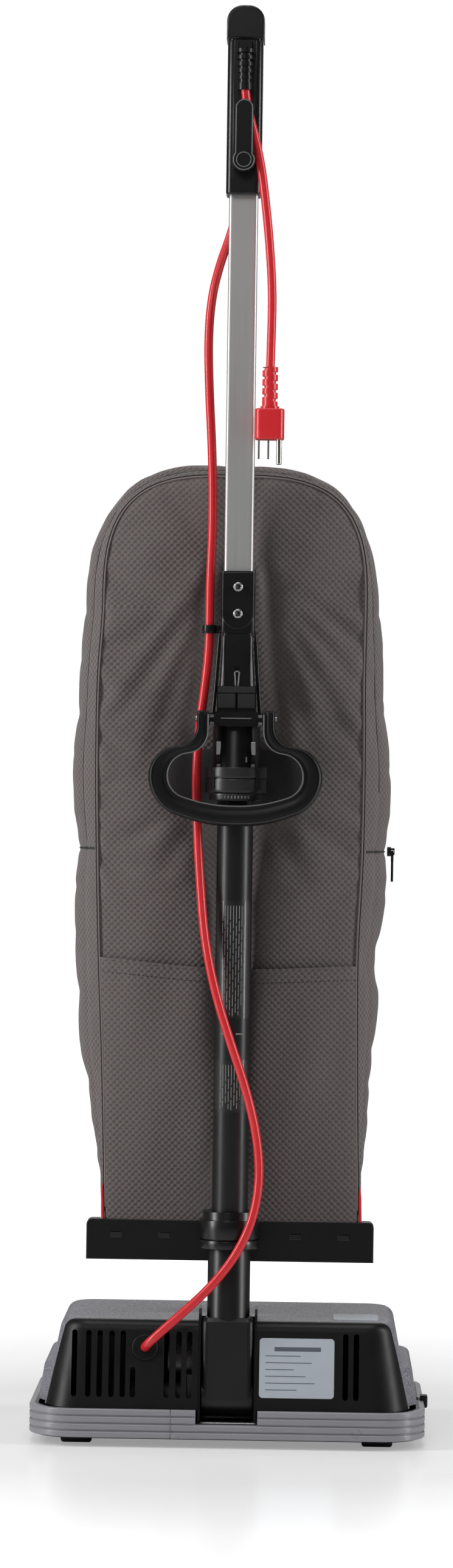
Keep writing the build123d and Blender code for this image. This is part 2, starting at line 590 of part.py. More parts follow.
def make_grip(side):
    """One moulded half of the grip; the halves meet on the middle plane."""
    grip = grip_blank()
    cavity = rounded_prism(GRIP_WIDTH - 6, GRIP_DEPTH - 6, 3, HANDLE_HIGH, 1180, PIVOT_Y)
    grip -= cavity
    grip -= rounded_prism(HANDLE_WIDTH, HANDLE_DEPTH, 3, GRIP_LOW - 5, HANDLE_HIGH, PIVOT_Y)
    # The lead leaves through the front of the lower lip.
    grip -= z_rod(4.4, GRIP_LOW - 5, HANDLE_HIGH, -5, PIVOT_Y + HANDLE_DEPTH / 2 + 4.2)
    # Windows for the lead's strain relief, the hook's post and the switch.
    grip -= span(-6, 6, GRIP_REAR_Y - 5, GRIP_REAR_Y + 5, RELIEF_TOP - 12, RELIEF_TOP)
    grip -= y_rod(4.05, GRIP_REAR_Y - 5, GRIP_REAR_Y + 5, 0, HOOK_PIVOT_Z)
    grip -= span(-7, 7, GRIP_REAR_Y + GRIP_DEPTH - 5, GRIP_REAR_Y + GRIP_DEPTH + 5, 1138, 1166)
    keep = span(0, 30, PIVOT_Y - 40, PIVOT_Y + 40, 1000, 1300)
    return grip & (keep if side > 0 else mirror(keep, Plane.YZ))


def make_switch_body():
    """The switch's case with two ears that hold the rocker's pin."""
    front = GRIP_REAR_Y + GRIP_DEPTH
    case = span(-8.4, 8.4, front - 20, front - 13, 1136, 1168)
    case += both_sides(span(7.1, 8.4, front - 13, SWITCH_PIN_Y + 1.8, SWITCH_Z - 2.5, SWITCH_Z + 2.5))
    return case + x_rod(1.2, -8.4, 8.4, SWITCH_PIN_Y, SWITCH_Z)


def make_switch():
    front = GRIP_REAR_Y + GRIP_DEPTH
    rocker = span(-6.6, 6.6, front - 8.5, front + 1.5, 1139.2, 1164.8)
    rocker -= x_rod(1.2 + RUNNING_CLEARANCE, -7, 7, SWITCH_PIN_Y, SWITCH_Z)
    rocker -= Pos(0, front + 6, SWITCH_Z) * Rot(0, 90, 0) * Cylinder(6, 30)
    edges = rocker.faces().sort_by(Axis.Y)[-1].edges()
    return fillet(edges, 0.6)


def make_strain_relief():
    """A ribbed sleeve that tapers towards the cord, on a tongue held by the grip."""
    boot = z_rod(5.2, RELIEF_LOW, RELIEF_TOP - 6, 0, RELIEF_Y)
    for number in range(5):
        z = RELIEF_LOW + 9 + number * 5.6
        boot += z_rod(6.0 + 0.35 * number, z, z + 3.0, 0, RELIEF_Y)
    boot += z_rod(6.2, RELIEF_LOW, RELIEF_LOW + 6, 0, RELIEF_Y)
    boot += span(-5.5, 5.5, RELIEF_Y - 5, GRIP_REAR_Y + 3, RELIEF_TOP - 11, RELIEF_TOP - 0.5)
    # The mouth is a little wider than the cord, which starts to bend inside it.
    boot -= z_rod(CORD_RADIUS + 0.6, RELIEF_LOW, RELIEF_LOW + 7, 0, RELIEF_Y)
    return boot - z_rod(CORD_RADIUS, RELIEF_LOW, RELIEF_TOP - 16, 0, RELIEF_Y)


def make_cord_clip():
    ring = z_rod(6.0, 684.5, 691.5, -24, PIVOT_Y) - z_rod(CORD_RADIUS + 0.5, 684, 692, -24, PIVOT_Y)
    arm = span(-18.2, -14.3, PIVOT_Y - 3, PIVOT_Y + 3, 684.5, 691.5)
    return ring + (arm - z_rod(5, 680, 700, -24, PIVOT_Y))


# ---- Wand: moving pieces on the handle ------------------------------------------------
def make_hand_loop():
    """The loop is two arms that flare into one wide, nearly oval bar."""
    front = Plane((0, LOOP_Y, 0), x_dir=(1, 0, 0), z_dir=(0, -1, 0))
    with BuildSketch(front) as face:
        with BuildLine():
            Line((33, 618), (33, 604))
            ThreePointArc((33, 604), (37.5, 594.5), (47, 589.5))
            ThreePointArc((47, 589.5), (66.5, 581), (73.5, 563))
            ThreePointArc((73.5, 563), (67.5, 544), (47, 530))
            ThreePointArc((47, 530), (24, 523.5), (0, 522))
            ThreePointArc((0, 522), (-24, 523.5), (-47, 530))
            ThreePointArc((-47, 530), (-67.5, 544), (-73.5, 563))
            ThreePointArc((-73.5, 563), (-66.5, 581), (-47, 589.5))
            ThreePointArc((-47, 589.5), (-37.5, 594.5), (-33, 604))
            Line((-33, 604), (-33, 618))
            Line((-33, 618), (-23, 618))
            Line((-23, 618), (-23, 602))
            ThreePointArc((-23, 602), (-27.5, 589), (-38, 583))
            ThreePointArc((-38, 583), (-52, 576.5), (-56.3, 563))
            ThreePointArc((-56.3, 563), (-52.5, 552.5), (-42, 546))
            ThreePointArc((-42, 546), (-22, 541), (0, 539.5))
            ThreePointArc((0, 539.5), (22, 541), (42, 546))
            ThreePointArc((42, 546), (52.5, 552.5), (56.3, 563))
            ThreePointArc((56.3, 563), (52, 576.5), (38, 583))
            ThreePointArc((38, 583), (27.5, 589), (23, 602))
            Line((23, 602), (23, 618))
            Line((23, 618), (33, 618))
        make_face()
    loop = extrude(face.sketch, LOOP_DEPTH / 2, both=True)
    return loop - x_rod(LOOP_PIN_RADIUS + RUNNING_CLEARANCE, -40, 40, LOOP_PIN_Y, HINGE_Z)


def make_loop_pin():
    return x_rod(LOOP_PIN_RADIUS, -34, 34, LOOP_PIN_Y, HINGE_Z)


def make_cord_hook():
    back = GRIP_REAR_Y - HOOK_REACH
    plate = span(-7.75, 7.75, back - 5, back, HOOK_PIVOT_Z, HOOK_TOP_Z - 7.75)
    plate += y_rod(7.75, back - 5, back, 0, HOOK_TOP_Z - 7.75)
    plate += y_rod(9.6, back - 5, back, 0, HOOK_PIVOT_Z)
    plate = fillet(plate.faces().sort_by(Axis.Y)[0].edges(), 0.9)
    plate -= y_rod(6.6, back - 6, back - 4.4, 0, HOOK_PIVOT_Z) - y_rod(5.6, back - 6, back - 4, 0, HOOK_PIVOT_Z)
    post = y_rod(6.5, back, GRIP_REAR_Y - 0.3, 0, HOOK_PIVOT_Z)
    return plate + post + y_rod(4.0, GRIP_REAR_Y - 0.3, GRIP_REAR_Y + 3.5, 0, HOOK_PIVOT_Z)


# ---- Wand: bags -----------------------------------------------------------------------
def bag_outline(level, inset, lift=0.0):
    """One cross section of the bag; a level is its middle x, width, front y, corner and height."""
    middle, width, front, corner, z = level
    back = BAG_BACK_Y + inset
    depth = front - inset - back
    rounding = max(min(corner, depth / 2 - 0.4) - inset / 2, 1.2)
    outline = RectangleRounded(width - 2 * inset, depth, rounding)
    return Plane((middle, (front - inset + back) / 2, z + lift)) * outline


def bag_blank(inset=0.0):
    """The outer bag's form, slim at the rail, fullest at mid height and round on top."""
    lower = (
        (0, 217, -44, 7, BAG_LOW), (0, 224, 4, 22, 222), (-2, 241, 40, 36, 290), (-5, 259, 62, 44, 380),
        (-5, 266, 70, 46, 470), (-5, 271, 71, 46, 560), (-5, 260, 64, 43, 660), (-5, 249, 50, 38, 730),
    )
    top = (
        (-5, 249, 50, 38, 730), (-5, 227, 33, 34, 775), (-5, 189, 14, 27, 803), (-5, 134, -4, 20, 819),
        (-5, 92, -14, 15, 826),
    )
    lower_part = loft([bag_outline(level, inset, inset if level is lower[0] else 0) for level in lower])
    top_part = loft([bag_outline(level, inset, -inset if level is top[-1] else 0) for level in top])
    return lower_part + top_part


def make_outer_bag(blank):
    bag = blank - bag_blank(BAG_WALL)
    return bag - y_rod(SPOUT_RADIUS, -80, BAG_BACK_Y + 10, 0, SPOUT_Z)


def make_zip_tape(blank):
    band = span(-200, 200, -46, 200, ZIP_Z - 5, ZIP_Z + 5)
    grown = Pos(-5, 0, ZIP_Z) * extrude(Pos(0, 7) * RectangleRounded(269.6, 129.6, 46), 5, both=True)
    return (grown & band) - blank


def make_paper_bag():
    low, high, wall = 310, 640, 1.0
    width, depth, middle = 190, 56, 3
    bag = rounded_prism(width, depth, 12, low, high, middle)
    bag -= rounded_prism(width - 2 * wall, depth - 2 * wall, 12 - wall, low + wall, high - wall, middle)
    bag -= y_rod(SPOUT_RADIUS - 4, -40, 0, 0, SPOUT_Z)
    card = span(-42, 42, -28, -25, SPOUT_Z - 34, SPOUT_Z + 34)
    card += y_rod(SPOUT_RADIUS + 4, SPOUT_END_Y, -28, 0, SPOUT_Z)
    return bag, card - y_rod(SPOUT_RADIUS - 4, -50, 0, 0, SPOUT_Z)


def make_pocket():
    """The second cloth layer over the lower back of the bag."""
    panel = rounded_prism(212, 1.2, 0.5, 200, 409, BAG_BACK_Y - 0.6)
    return panel


def make_rail():
    half = RAIL_WIDTH / 2
    middle = (RAIL_BACK_Y + RAIL_FRONT_Y) / 2
    rail = span(-half, half, RAIL_BACK_Y, RAIL_FRONT_Y, RAIL_LOW, RAIL_HIGH)
    rail = fillet(rail.edges().filter_by(Axis.Y).group_by(Axis.Z)[-1], 5)
    rail = fillet(rail.edges().filter_by(Axis.X), 1.2)
    rail -= span(-111, 111, BAG_BACK_Y - 0.2, RAIL_FRONT_Y + 1, BAG_LOW, 190)
    for x in (-97, -55, 56, 98):
        rail -= Pos(x, RAIL_BACK_Y, 174) * Box(9, 3, 3)
    return rail - span(-half + 3, half - 3, middle - 5, middle + 5, RAIL_LOW, RAIL_LOW + 22)


def make_red_tabs():
    tab = span(112.4, 114.6, -52, -47, 186.2, 213)
    return both_sides(tab)


SLIDER_X = 130.4


def make_zip_slider():
    body = span(SLIDER_X, SLIDER_X + 3.2, -6, 6, ZIP_Z - 4, ZIP_Z + 4)
    body = fillet(body.edges().filter_by(Axis.X), 1.8)
    bail = span(SLIDER_X + 3.2, SLIDER_X + 6.4, -1.2, 1.2, ZIP_Z - 3, ZIP_Z + 3)
    return body + (bail - y_rod(1.4, -5, 5, SLIDER_X + 4.4, ZIP_Z))


def make_zip_pull():
    x = SLIDER_X + 4.4
    wire = y_rod(1.1, -2.8, 2.8, x, ZIP_Z)
    for y0 in (-2.8, 1.4):
        wire += span(x - 1.1, x + 1.1, y0, y0 + 1.4, ZIP_Z - 9, ZIP_Z)
    tag = span(x - 1.0, x + 1.0, -2.8, 2.8, ZIP_Z - 26, ZIP_Z - 7)
    return wire + fillet(tag.edges().filter_by(Axis.X), 1.2)


# ---- Leads and plug -------------------------------------------------------------------
def corner_radii(points):
    """Each corner's radius: 0.45 of the shorter run over the tangent of half the turn."""
    radii = []
    for before, here, after in zip(points, points[1:], points[2:]):
        first, second = Vector(*here) - Vector(*before), Vector(*after) - Vector(*here)
        half_turn = math.radians(first.get_angle(second)) / 2
        radii.append(0.45 * min(first.length, second.length) / math.tan(half_turn))
    return radii


def make_lead(name, points):
    radii = corner_radii(points)
    path = FilletPolyline(*points, radius=radii)
    tube = sweep(Plane(path @ 0, z_dir=path % 0) * Circle(CORD_RADIUS), path=path)
    share = tube.volume / (math.pi * CORD_RADIUS**2 * path.length)
    print(f"{name}: length {path.length:.0f}, volume share {share:.3f}, radii", [round(r) for r in radii])
    return tube


FEED_ROUTE = [
    (-5.0, -71.8, 1054.0), (-6.5, -71.5, 1040.0), (-11.5, -71.5, 1021.0), (-19.5, -75.5, 998.0),
    (-26.0, -81.0, 970.0), (-28.5, -84.5, 935.0), (-27.0, -85.0, 890.0), (-23.5, -84.5, 835.0),
    (-22.2, -84.0, 780.0), (-23.8, -84.3, 735.0), (-24.0, -84.0, 700.0), (-24.0, -84.2, 672.0),
    (-27.0, -85.2, 640.0), (-31.5, -85.0, 605.0), (-33.6, -87.0, 565.0), (-32.0, -90.0, 520.0),
    (-28.5, -96.0, 470.0), (-24.0, -104.0, 425.0), (-14.5, -109.5, 382.0), (-1.5, -111.0, 342.0),
    (12.5, -109.5, 302.0), (22.5, -107.5, 262.0), (25.5, -108.5, 225.0), (19.5, -112.0, 190.0),
    (5.0, -113.0, 160.0), (-15.0, -115.0, 135.0), (-37.0, -118.5, 114.5), (-54.0, -120.5, 99.5),
    (-64.5, -119.5, 89.8), (-69.2, -112.8, 84.2), FEED_EXIT,
]

PLUG_ROUTE = [
    (0.0, RELIEF_Y, RELIEF_LOW + 14), (0.0, RELIEF_Y, RELIEF_LOW + 0.5), (2.8, -106.8, 1124.5),
    (8.5, -107.4, 1103.0), (14.5, -107.6, 1078.0), (19.0, -107.2, 1045.0), (23.0, -106.6, 1008.0),
    (25.6, -106.0, 970.0), (25.2, -105.7, 938.0), (24.6, -105.6, 908.0),
]
PLUG_X, PLUG_Y = 24.6, -105.6


def make_plug():
    relief = z_rod(6.6, 874, 908, PLUG_X, PLUG_Y) - z_rod(CORD_RADIUS, 874, 908, PLUG_X, PLUG_Y)
    for number in range(4):
        z = 879 + number * 7.5
        for side in (-1, 1):
            cut = span(PLUG_X + 2.2, PLUG_X + 8, PLUG_Y - 8, PLUG_Y + 8, z, z + 2.6)
            if side < 0:
                cut = Pos(-2 * 5.1, 0, 3.7) * cut
            relief -= cut
    relief += z_rod(CORD_RADIUS + 1.2, 874, 907, PLUG_X, PLUG_Y)
    relief -= z_rod(CORD_RADIUS, 874, 908, PLUG_X, PLUG_Y)
    body = rounded_prism(25, 20, 6, 847, 873, PLUG_Y, PLUG_X)
    body = fillet(body.edges().group_by(Axis.Z)[-1] + body.edges().group_by(Axis.Z)[0], 1.5)
    return body + z_rod(8, 872, 875, PLUG_X, PLUG_Y) + relief


def make_plug_pins():
    blades = []
    for x in (-9.5, -1.5):
        blade = span(PLUG_X + x, PLUG_X + x + 1.5, PLUG_Y - 3.2, PLUG_Y + 3.2, 831, 847)
        blades.append(blade - x_rod(1.5, PLUG_X - 20, PLUG_X + 20, PLUG_Y, 835))
    pin = z_rod(2.4, 826, 847, PLUG_X + 8.2, PLUG_Y)
    blades.append(fillet(pin.edges().sort_by(Axis.Z)[0], 1.5))
    return blades


# ---- Write every piece ----------------------------------------------------------------
save("chassis", make_chassis())
save("bumper", make_bumper())
save("bottom_plate", make_bottom_plate())
save("plate_latch", make_latch())
save("hood", make_hood())
save("rear_cover", make_rear_cover())
save("pivot_bearings", *make_pivot_bearings())
save("cord_grommet", make_grommet())
save("rating_label", make_label(27, 90, 42, 92))
save("hood_badge", rounded_prism(38, 44, 5, HOOD_HIGH, HOOD_HIGH + 0.6, -58, 108))
save("rear_axle", make_rear_axle())
save("wheel_left", make_wheel(-1))
save("wheel_right", make_wheel(1))
save("front_glides", *make_glides())
save("base_screws", *make_base_screws())
save("motor_can", make_motor_can())
save("motor_stator", make_stator())
save("motor_mounts", *make_motor_mounts())
save("motor_armature", make_armature())
save("fan_impeller", make_fan())
save("fan_housing", make_fan_housing())
save("outlet_duct", make_outlet_duct())
save("intake_duct", make_intake_duct())
save("brush_chamber", make_brush_chamber())
save("brush_core", make_brush_core())
save("brush_bristles", *make_bristles())
save("brush_bearings", *make_brush_bearings())
save("drive_belt", make_belt())
save("edge_brushes", *make_edge_brushes())

save("pivot_fork", make_fork())
save("lower_collar", make_lower_collar())
save("fill_tube", make_fill_tube())
save("tube_labels", *make_tube_labels())
save("elbow", make_elbow())
save("bag_collar", make_bag_collar())
save("handle_socket", make_socket())
save("socket_screws", *make_socket_screws())
save("handle_tube", make_handle_tube())
save("grip_left", make_grip(-1))
save("grip_right", make_grip(1))
save("switch_body", make_switch_body())
save("switch_rocker", make_switch())
save("strain_relief", make_strain_relief())
save("cord_clip", make_cord_clip())
save("loop_pin", make_loop_pin())
save("hand_loop", make_hand_loop())
save("cord_hook", make_cord_hook())

OUTER_BLANK = bag_blank()
paper, card = make_paper_bag()
save("outer_bag", make_outer_bag(OUTER_BLANK))
save("zip_tape", make_zip_tape(OUTER_BLANK))
save("paper_bag", paper)
save("bag_card", card)
save("back_pocket", make_pocket())
save("bag_rail", make_rail())
save("red_tabs", *make_red_tabs())
save("zip_slider", make_zip_slider())
save("zip_pull", make_zip_pull())

save("feed_cord", make_lead("feed_cord", FEED_ROUTE))
save("plug_cord", make_lead("plug_cord", PLUG_ROUTE))
save("plug_body", make_plug())
save("plug_pins", *make_plug_pins())
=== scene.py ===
import json
import math

import bpy
import numpy as np
from mathutils import Euler, Matrix, Vector


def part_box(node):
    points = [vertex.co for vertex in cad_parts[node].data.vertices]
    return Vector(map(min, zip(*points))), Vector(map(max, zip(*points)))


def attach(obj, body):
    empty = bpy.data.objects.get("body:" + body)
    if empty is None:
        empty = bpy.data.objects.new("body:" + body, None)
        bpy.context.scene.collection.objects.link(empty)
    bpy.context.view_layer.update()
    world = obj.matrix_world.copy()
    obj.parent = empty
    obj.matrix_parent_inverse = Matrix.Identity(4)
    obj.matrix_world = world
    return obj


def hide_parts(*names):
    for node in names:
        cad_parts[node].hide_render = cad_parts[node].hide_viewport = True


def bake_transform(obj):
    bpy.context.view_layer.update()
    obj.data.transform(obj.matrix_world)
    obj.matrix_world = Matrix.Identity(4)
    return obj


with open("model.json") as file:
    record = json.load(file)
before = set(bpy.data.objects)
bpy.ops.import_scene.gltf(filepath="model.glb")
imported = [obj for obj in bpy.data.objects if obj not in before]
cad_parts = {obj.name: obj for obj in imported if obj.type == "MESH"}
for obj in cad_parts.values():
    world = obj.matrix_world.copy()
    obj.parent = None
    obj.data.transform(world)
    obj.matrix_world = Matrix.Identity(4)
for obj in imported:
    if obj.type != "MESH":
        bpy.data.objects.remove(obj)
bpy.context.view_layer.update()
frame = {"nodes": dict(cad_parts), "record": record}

MM = 0.001


def lo_hi(node):
    """A CAD node's lowest and highest corners, in millimetres."""
    low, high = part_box(node)
    return np.array(low) / MM, np.array(high) / MM


# ---- Places taken from the CAD frame, in millimetres ----------------------------------
BAG_LO, BAG_HI = lo_hi("outer_bag")
RAIL_TOP = lo_hi("bag_rail")[1][2]
LOOP_LO, LOOP_HI = lo_hi("hand_loop")
ZIP_LO, ZIP_HI = lo_hi("zip_tape")
ZIP_Z = (ZIP_LO[2] + ZIP_HI[2]) / 2
BAG_BACK = BAG_LO[1]
BAG_TOP = BAG_HI[2]
CORD_DIAMETER = 7.5

# ---- The leads' control points, in millimetres ----------------------------------------
FEED_ROUTE = [
    (-5.0, -71.8, 1054.0), (-6.5, -71.5, 1040.0), (-11.5, -71.5, 1021.0), (-19.5, -75.5, 998.0),
    (-26.0, -81.0, 970.0), (-28.5, -84.5, 935.0), (-27.0, -85.0, 890.0), (-23.5, -84.5, 835.0),
    (-22.2, -84.0, 780.0), (-23.8, -84.3, 735.0), (-24.0, -84.0, 700.0), (-24.0, -84.2, 672.0),
    (-27.0, -85.2, 640.0), (-31.5, -85.0, 605.0), (-33.6, -87.0, 565.0), (-32.0, -90.0, 520.0),
    (-28.5, -96.0, 470.0), (-24.0, -104.0, 425.0), (-14.5, -109.5, 382.0), (-1.5, -111.0, 342.0),
    (12.5, -109.5, 302.0), (22.5, -107.5, 262.0), (25.5, -108.5, 225.0), (19.5, -112.0, 190.0),
    (5.0, -113.0, 160.0), (-15.0, -115.0, 135.0), (-37.0, -118.5, 114.5), (-54.0, -120.5, 99.5),
    (-64.5, -119.5, 89.8), (-69.2, -112.8, 84.2), (-69.6, -102.6, 82.5),
]
PLUG_ROUTE = [
    (0.0, -109.0, 1154.0), (0.0, -109.0, 1140.5), (2.8, -106.8, 1124.5), (8.5, -107.4, 1103.0),
    (14.5, -107.6, 1078.0), (19.0, -107.2, 1045.0), (23.0, -106.6, 1008.0), (25.6, -106.0, 970.0),
    (25.2, -105.7, 938.0), (24.6, -105.6, 908.0),
]


# ---- Materials ------------------------------------------------------------------------
def tone(red, green, blue):
    """A linear colour from display values of 0 to 255."""
    def line(value):
        value /= 255
        return value / 12.92 if value <= 0.04045 else ((value + 0.055) / 1.055) ** 2.4
    return (line(red), line(green), line(blue), 1.0)


def scaled(color, factor):
    return tuple(min(1.0, c * factor) for c in color[:3]) + (1.0,)


class Finish:
    """A Principled material with the node helpers that every finish here needs."""

    def __init__(self, name, roughness=0.5, metallic=0.0, **uniform):
        self.material = bpy.data.materials.new(name)
        self.material.use_nodes = True
        self.tree = self.material.node_tree
        self.shader = self.tree.nodes["Principled BSDF"]
        self.shader.inputs["Roughness"].default_value = roughness
        self.shader.inputs["Metallic"].default_value = metallic
        for socket, value in uniform.items():
            self.shader.inputs[socket.replace("_", " ")].default_value = value
        self.coords = self.node("ShaderNodeTexCoord").outputs["Object"]

    def node(self, kind, **values):
        made = self.tree.nodes.new(kind)
        for key, value in values.items():
            if hasattr(made, key):
                setattr(made, key, value)
            else:
                made.inputs[key.replace("_", " ")].default_value = value
        return made

    def link(self, source, target):
        self.tree.links.new(source, target)

    def feed(self, value, socket):
        """Links a socket to its source, or sets its value."""
        if isinstance(value, bpy.types.NodeSocket):
            self.link(value, socket)
        else:
            socket.default_value = value

    def stretched(self, scale):
        """The coordinates scaled per axis."""
        mapping = self.node("ShaderNodeMapping")
        mapping.inputs["Scale"].default_value = scale
        self.link(self.coords, mapping.inputs["Vector"])
        return mapping.outputs["Vector"]

    def noise(self, scale, detail=3.0, vector=None):
        made = self.node("ShaderNodeTexNoise")
        made.inputs["Scale"].default_value = scale
        made.inputs["Detail"].default_value = detail
        self.link(vector or self.coords, made.inputs["Vector"])
        return made.outputs["Fac"]

    def ramp(self, source, *stops):
        made = self.node("ShaderNodeValToRGB")
        elements = made.color_ramp.elements
        while len(elements) < len(stops):
            elements.new(0.5)
        for element, (place, color) in zip(elements, stops):
            element.position = place
            element.color = color if len(color) == 4 else tuple(color) + (1.0,)
        self.link(source, made.inputs["Fac"])
        return made.outputs["Color"]

    def blend(self, factor, first, second, kind="MIX"):
        made = self.node("ShaderNodeMix", data_type="RGBA", blend_type=kind)
        for number, value in ((0, factor), (6, first), (7, second)):
            self.feed(value, made.inputs[number])
        return made.outputs[2]

    def shades(self, source, low, high, color, dark, light):
        """A dark and a light shade of one colour, mixed by a source spread from low to high."""
        return self.blend(self.spread(source, low, high), scaled(color, dark), scaled(color, light))

    def math(self, kind, first, second=0.0):
        made = self.node("ShaderNodeMath", operation=kind)
        for socket, value in zip(made.inputs, (first, second)):
            self.feed(value, socket)
        return made.outputs[0]

    def spread(self, source, low, high):
        made = self.node("ShaderNodeMapRange")
        made.inputs["To Min"].default_value = low
        made.inputs["To Max"].default_value = high
        self.link(source, made.inputs["Value"])
        return made.outputs["Result"]

    def color(self, source):
        self.feed(source, self.shader.inputs["Base Color"])

    def roughness(self, source):
        self.link(source, self.shader.inputs["Roughness"])

    def bump(self, height, distance, strength=1.0, before=None):
        made = self.node("ShaderNodeBump")
        made.inputs["Strength"].default_value = strength
        made.inputs["Distance"].default_value = distance
        self.link(height, made.inputs["Height"])
        if before is not None:
            self.link(before, made.inputs["Normal"])
        self.link(made.outputs["Normal"], self.shader.inputs["Normal"])
        return made.outputs["Normal"]


def moulded(name, color, rough, grain_mm=0.8, grain_depth_mm=0.02, smear=0.08, **uniform):
    """Moulded plastic or rubber: fine grain, faint cloudiness and uneven gloss."""
    finish = Finish(name, rough, **uniform)
    finish.color(finish.shades(finish.noise(18.0), 0.25, 0.75, color, 0.86, 1.16))
    finish.roughness(finish.spread(finish.noise(45.0, 4.0), rough - smear, rough + smear))
    finish.bump(finish.noise(1 / (grain_mm * MM), 2.0), grain_depth_mm * MM)
    return finish.material


def speckled_plastic():
    """Textured grey plastic with light and dark flecks."""
    finish = Finish("hood_speckle", 0.5)
    fleck = finish.noise(1500.0, 2.0)
    base = finish.ramp(
        fleck,
        (0.34, tone(66, 66, 72)), (0.46, tone(110, 110, 117)),
        (0.56, tone(132, 132, 140)), (0.66, tone(196, 196, 203)),
    )
    cloud = finish.spread(finish.noise(12.0), 0.85, 1.1)
    shade = finish.node("ShaderNodeCombineColor")
    for channel in shade.inputs:
        finish.link(cloud, channel)
    finish.color(finish.blend(1.0, base, shade.outputs[0], "MULTIPLY"))
    finish.roughness(finish.spread(finish.noise(300.0), 0.42, 0.6))
    finish.bump(finish.noise(1100.0, 2.0), 0.12 * MM, 0.6)
    return finish.material


def drawn_metal(name, color, rough):
    """Metal with fine lines along its height."""
    finish = Finish(name, rough, metallic=1.0)
    lines = finish.noise(1.0, 3.0, finish.stretched((1500.0, 1500.0, 9.0)))
    finish.color(finish.shades(lines, 0.2, 0.8, color, 0.9, 1.08))
    finish.roughness(finish.spread(lines, rough - 0.07, rough + 0.09))
    finish.bump(lines, 0.01 * MM, 0.5)
    return finish.material


def anodised():
    """Satin anodised aluminium: drawn lines, a soft bloom and a few pale rubs."""
    finish = Finish("handle_anodised", 0.42, metallic=0.75)
    lines = finish.noise(1.0, 3.0, finish.stretched((900.0, 900.0, 5.0)))
    cloud = finish.noise(9.0, 2.0)
    base = finish.blend(finish.spread(cloud, 0.2, 0.8), tone(182, 182, 181), tone(198, 198, 197))
    finish.color(finish.blend(finish.spread(lines, 0.0, 0.4), base, tone(214, 214, 213)))
    finish.roughness(finish.spread(lines, 0.36, 0.5))
    finish.bump(lines, 0.008 * MM, 0.5)
    return finish.material


def cloth(name, color, pitch_mm=5.6, emboss_mm=0.9):
    """Bag cloth: embossed diamond dimples over a fine weave.

    The weave attribute holds the cloth's two flat coordinates, and how much painted shade darkens its
    colour in the hollows beside the wand.
    """
    finish = Finish(name, 0.8, Sheen_Weight=0.25, Sheen_Roughness=0.5)
    flat = finish.node("ShaderNodeAttribute", attribute_name="weave").outputs["Vector"]
    parts = finish.node("ShaderNodeSeparateXYZ")
    finish.link(flat, parts.inputs[0])
    turn = 2 * math.pi / (pitch_mm * MM)
    across = finish.math("COSINE", finish.math("MULTIPLY", parts.outputs[0], turn))
    along = finish.math("COSINE", finish.math("MULTIPLY", parts.outputs[1], turn))
    dimple = finish.spread(finish.math("MULTIPLY", across, along), 0.0, 1.0)
    dimple.node.inputs["From Min"].default_value = -1.0
    fibre = finish.noise(2600.0, 2.0, flat)
    dyed = finish.shades(finish.noise(14.0, 4.0), 0.2, 0.8, color, 0.88, 1.12)
    # Painted shade: the colour darkens towards 0.4 of itself where the weave's third part, the fold shade,
    # is high.
    painted_fold_shade = finish.blend(parts.outputs[2], dyed, scaled(color, 0.4))
    # Painted shade: the colour darkens in the bottoms of the embossed dimples.
    dimple_painted_shade = finish.ramp(dimple, (0.0, (1, 1, 1)), (0.6, (0, 0, 0)))
    shaded = finish.blend(dimple_painted_shade, painted_fold_shade, scaled(color, 0.46))
    finish.color(finish.blend(finish.spread(fibre, 0.0, 0.3), shaded, scaled(color, 1.2)))
    finish.roughness(finish.spread(fibre, 0.7, 0.92))
    first = finish.bump(dimple, emboss_mm * MM, 0.8)
    finish.bump(fibre, 0.08 * MM, 0.5, first)
    return finish.material


def pvc(name, color):
    """A lead's glossy sheath with faint rubs and dust."""
    finish = Finish(name, 0.3, Coat_Weight=0.25, Coat_Roughness=0.2)
    finish.color(finish.shades(finish.noise(40.0, 4.0), 0.1, 0.9, color, 0.88, 1.08))
    finish.roughness(finish.spread(finish.noise(160.0, 3.0), 0.24, 0.4))
    finish.bump(finish.noise(700.0, 2.0), 0.02 * MM, 0.5)
    return finish.material


def bristle():
    """Dense dark tufts."""
    finish = Finish("brush_tufts", 0.7)
    hairs = finish.noise(900.0, 2.0)
    finish.color(finish.ramp(hairs, (0.35, tone(16, 16, 17)), (0.65, tone(58, 57, 56))))
    finish.bump(hairs, 0.5 * MM, 0.9)
    return finish.material


def film(name, color, rough=0.35):
    """Printed film with a slight mottle."""
    finish = Finish(name, rough, Coat_Weight=0.3)
    finish.color(finish.shades(finish.noise(60.0), 0.2, 0.8, color, 0.93, 1.04))
    finish.roughness(finish.spread(finish.noise(200.0), rough - 0.08, rough + 0.1))
    return finish.material


def paper(name, color):
    finish = Finish(name, 0.9)
    fibre = finish.noise(500.0, 6.0)
    finish.color(finish.shades(fibre, 0.1, 0.9, color, 0.85, 1.1))
    finish.bump(fibre, 0.06 * MM, 0.6)
    return finish.material


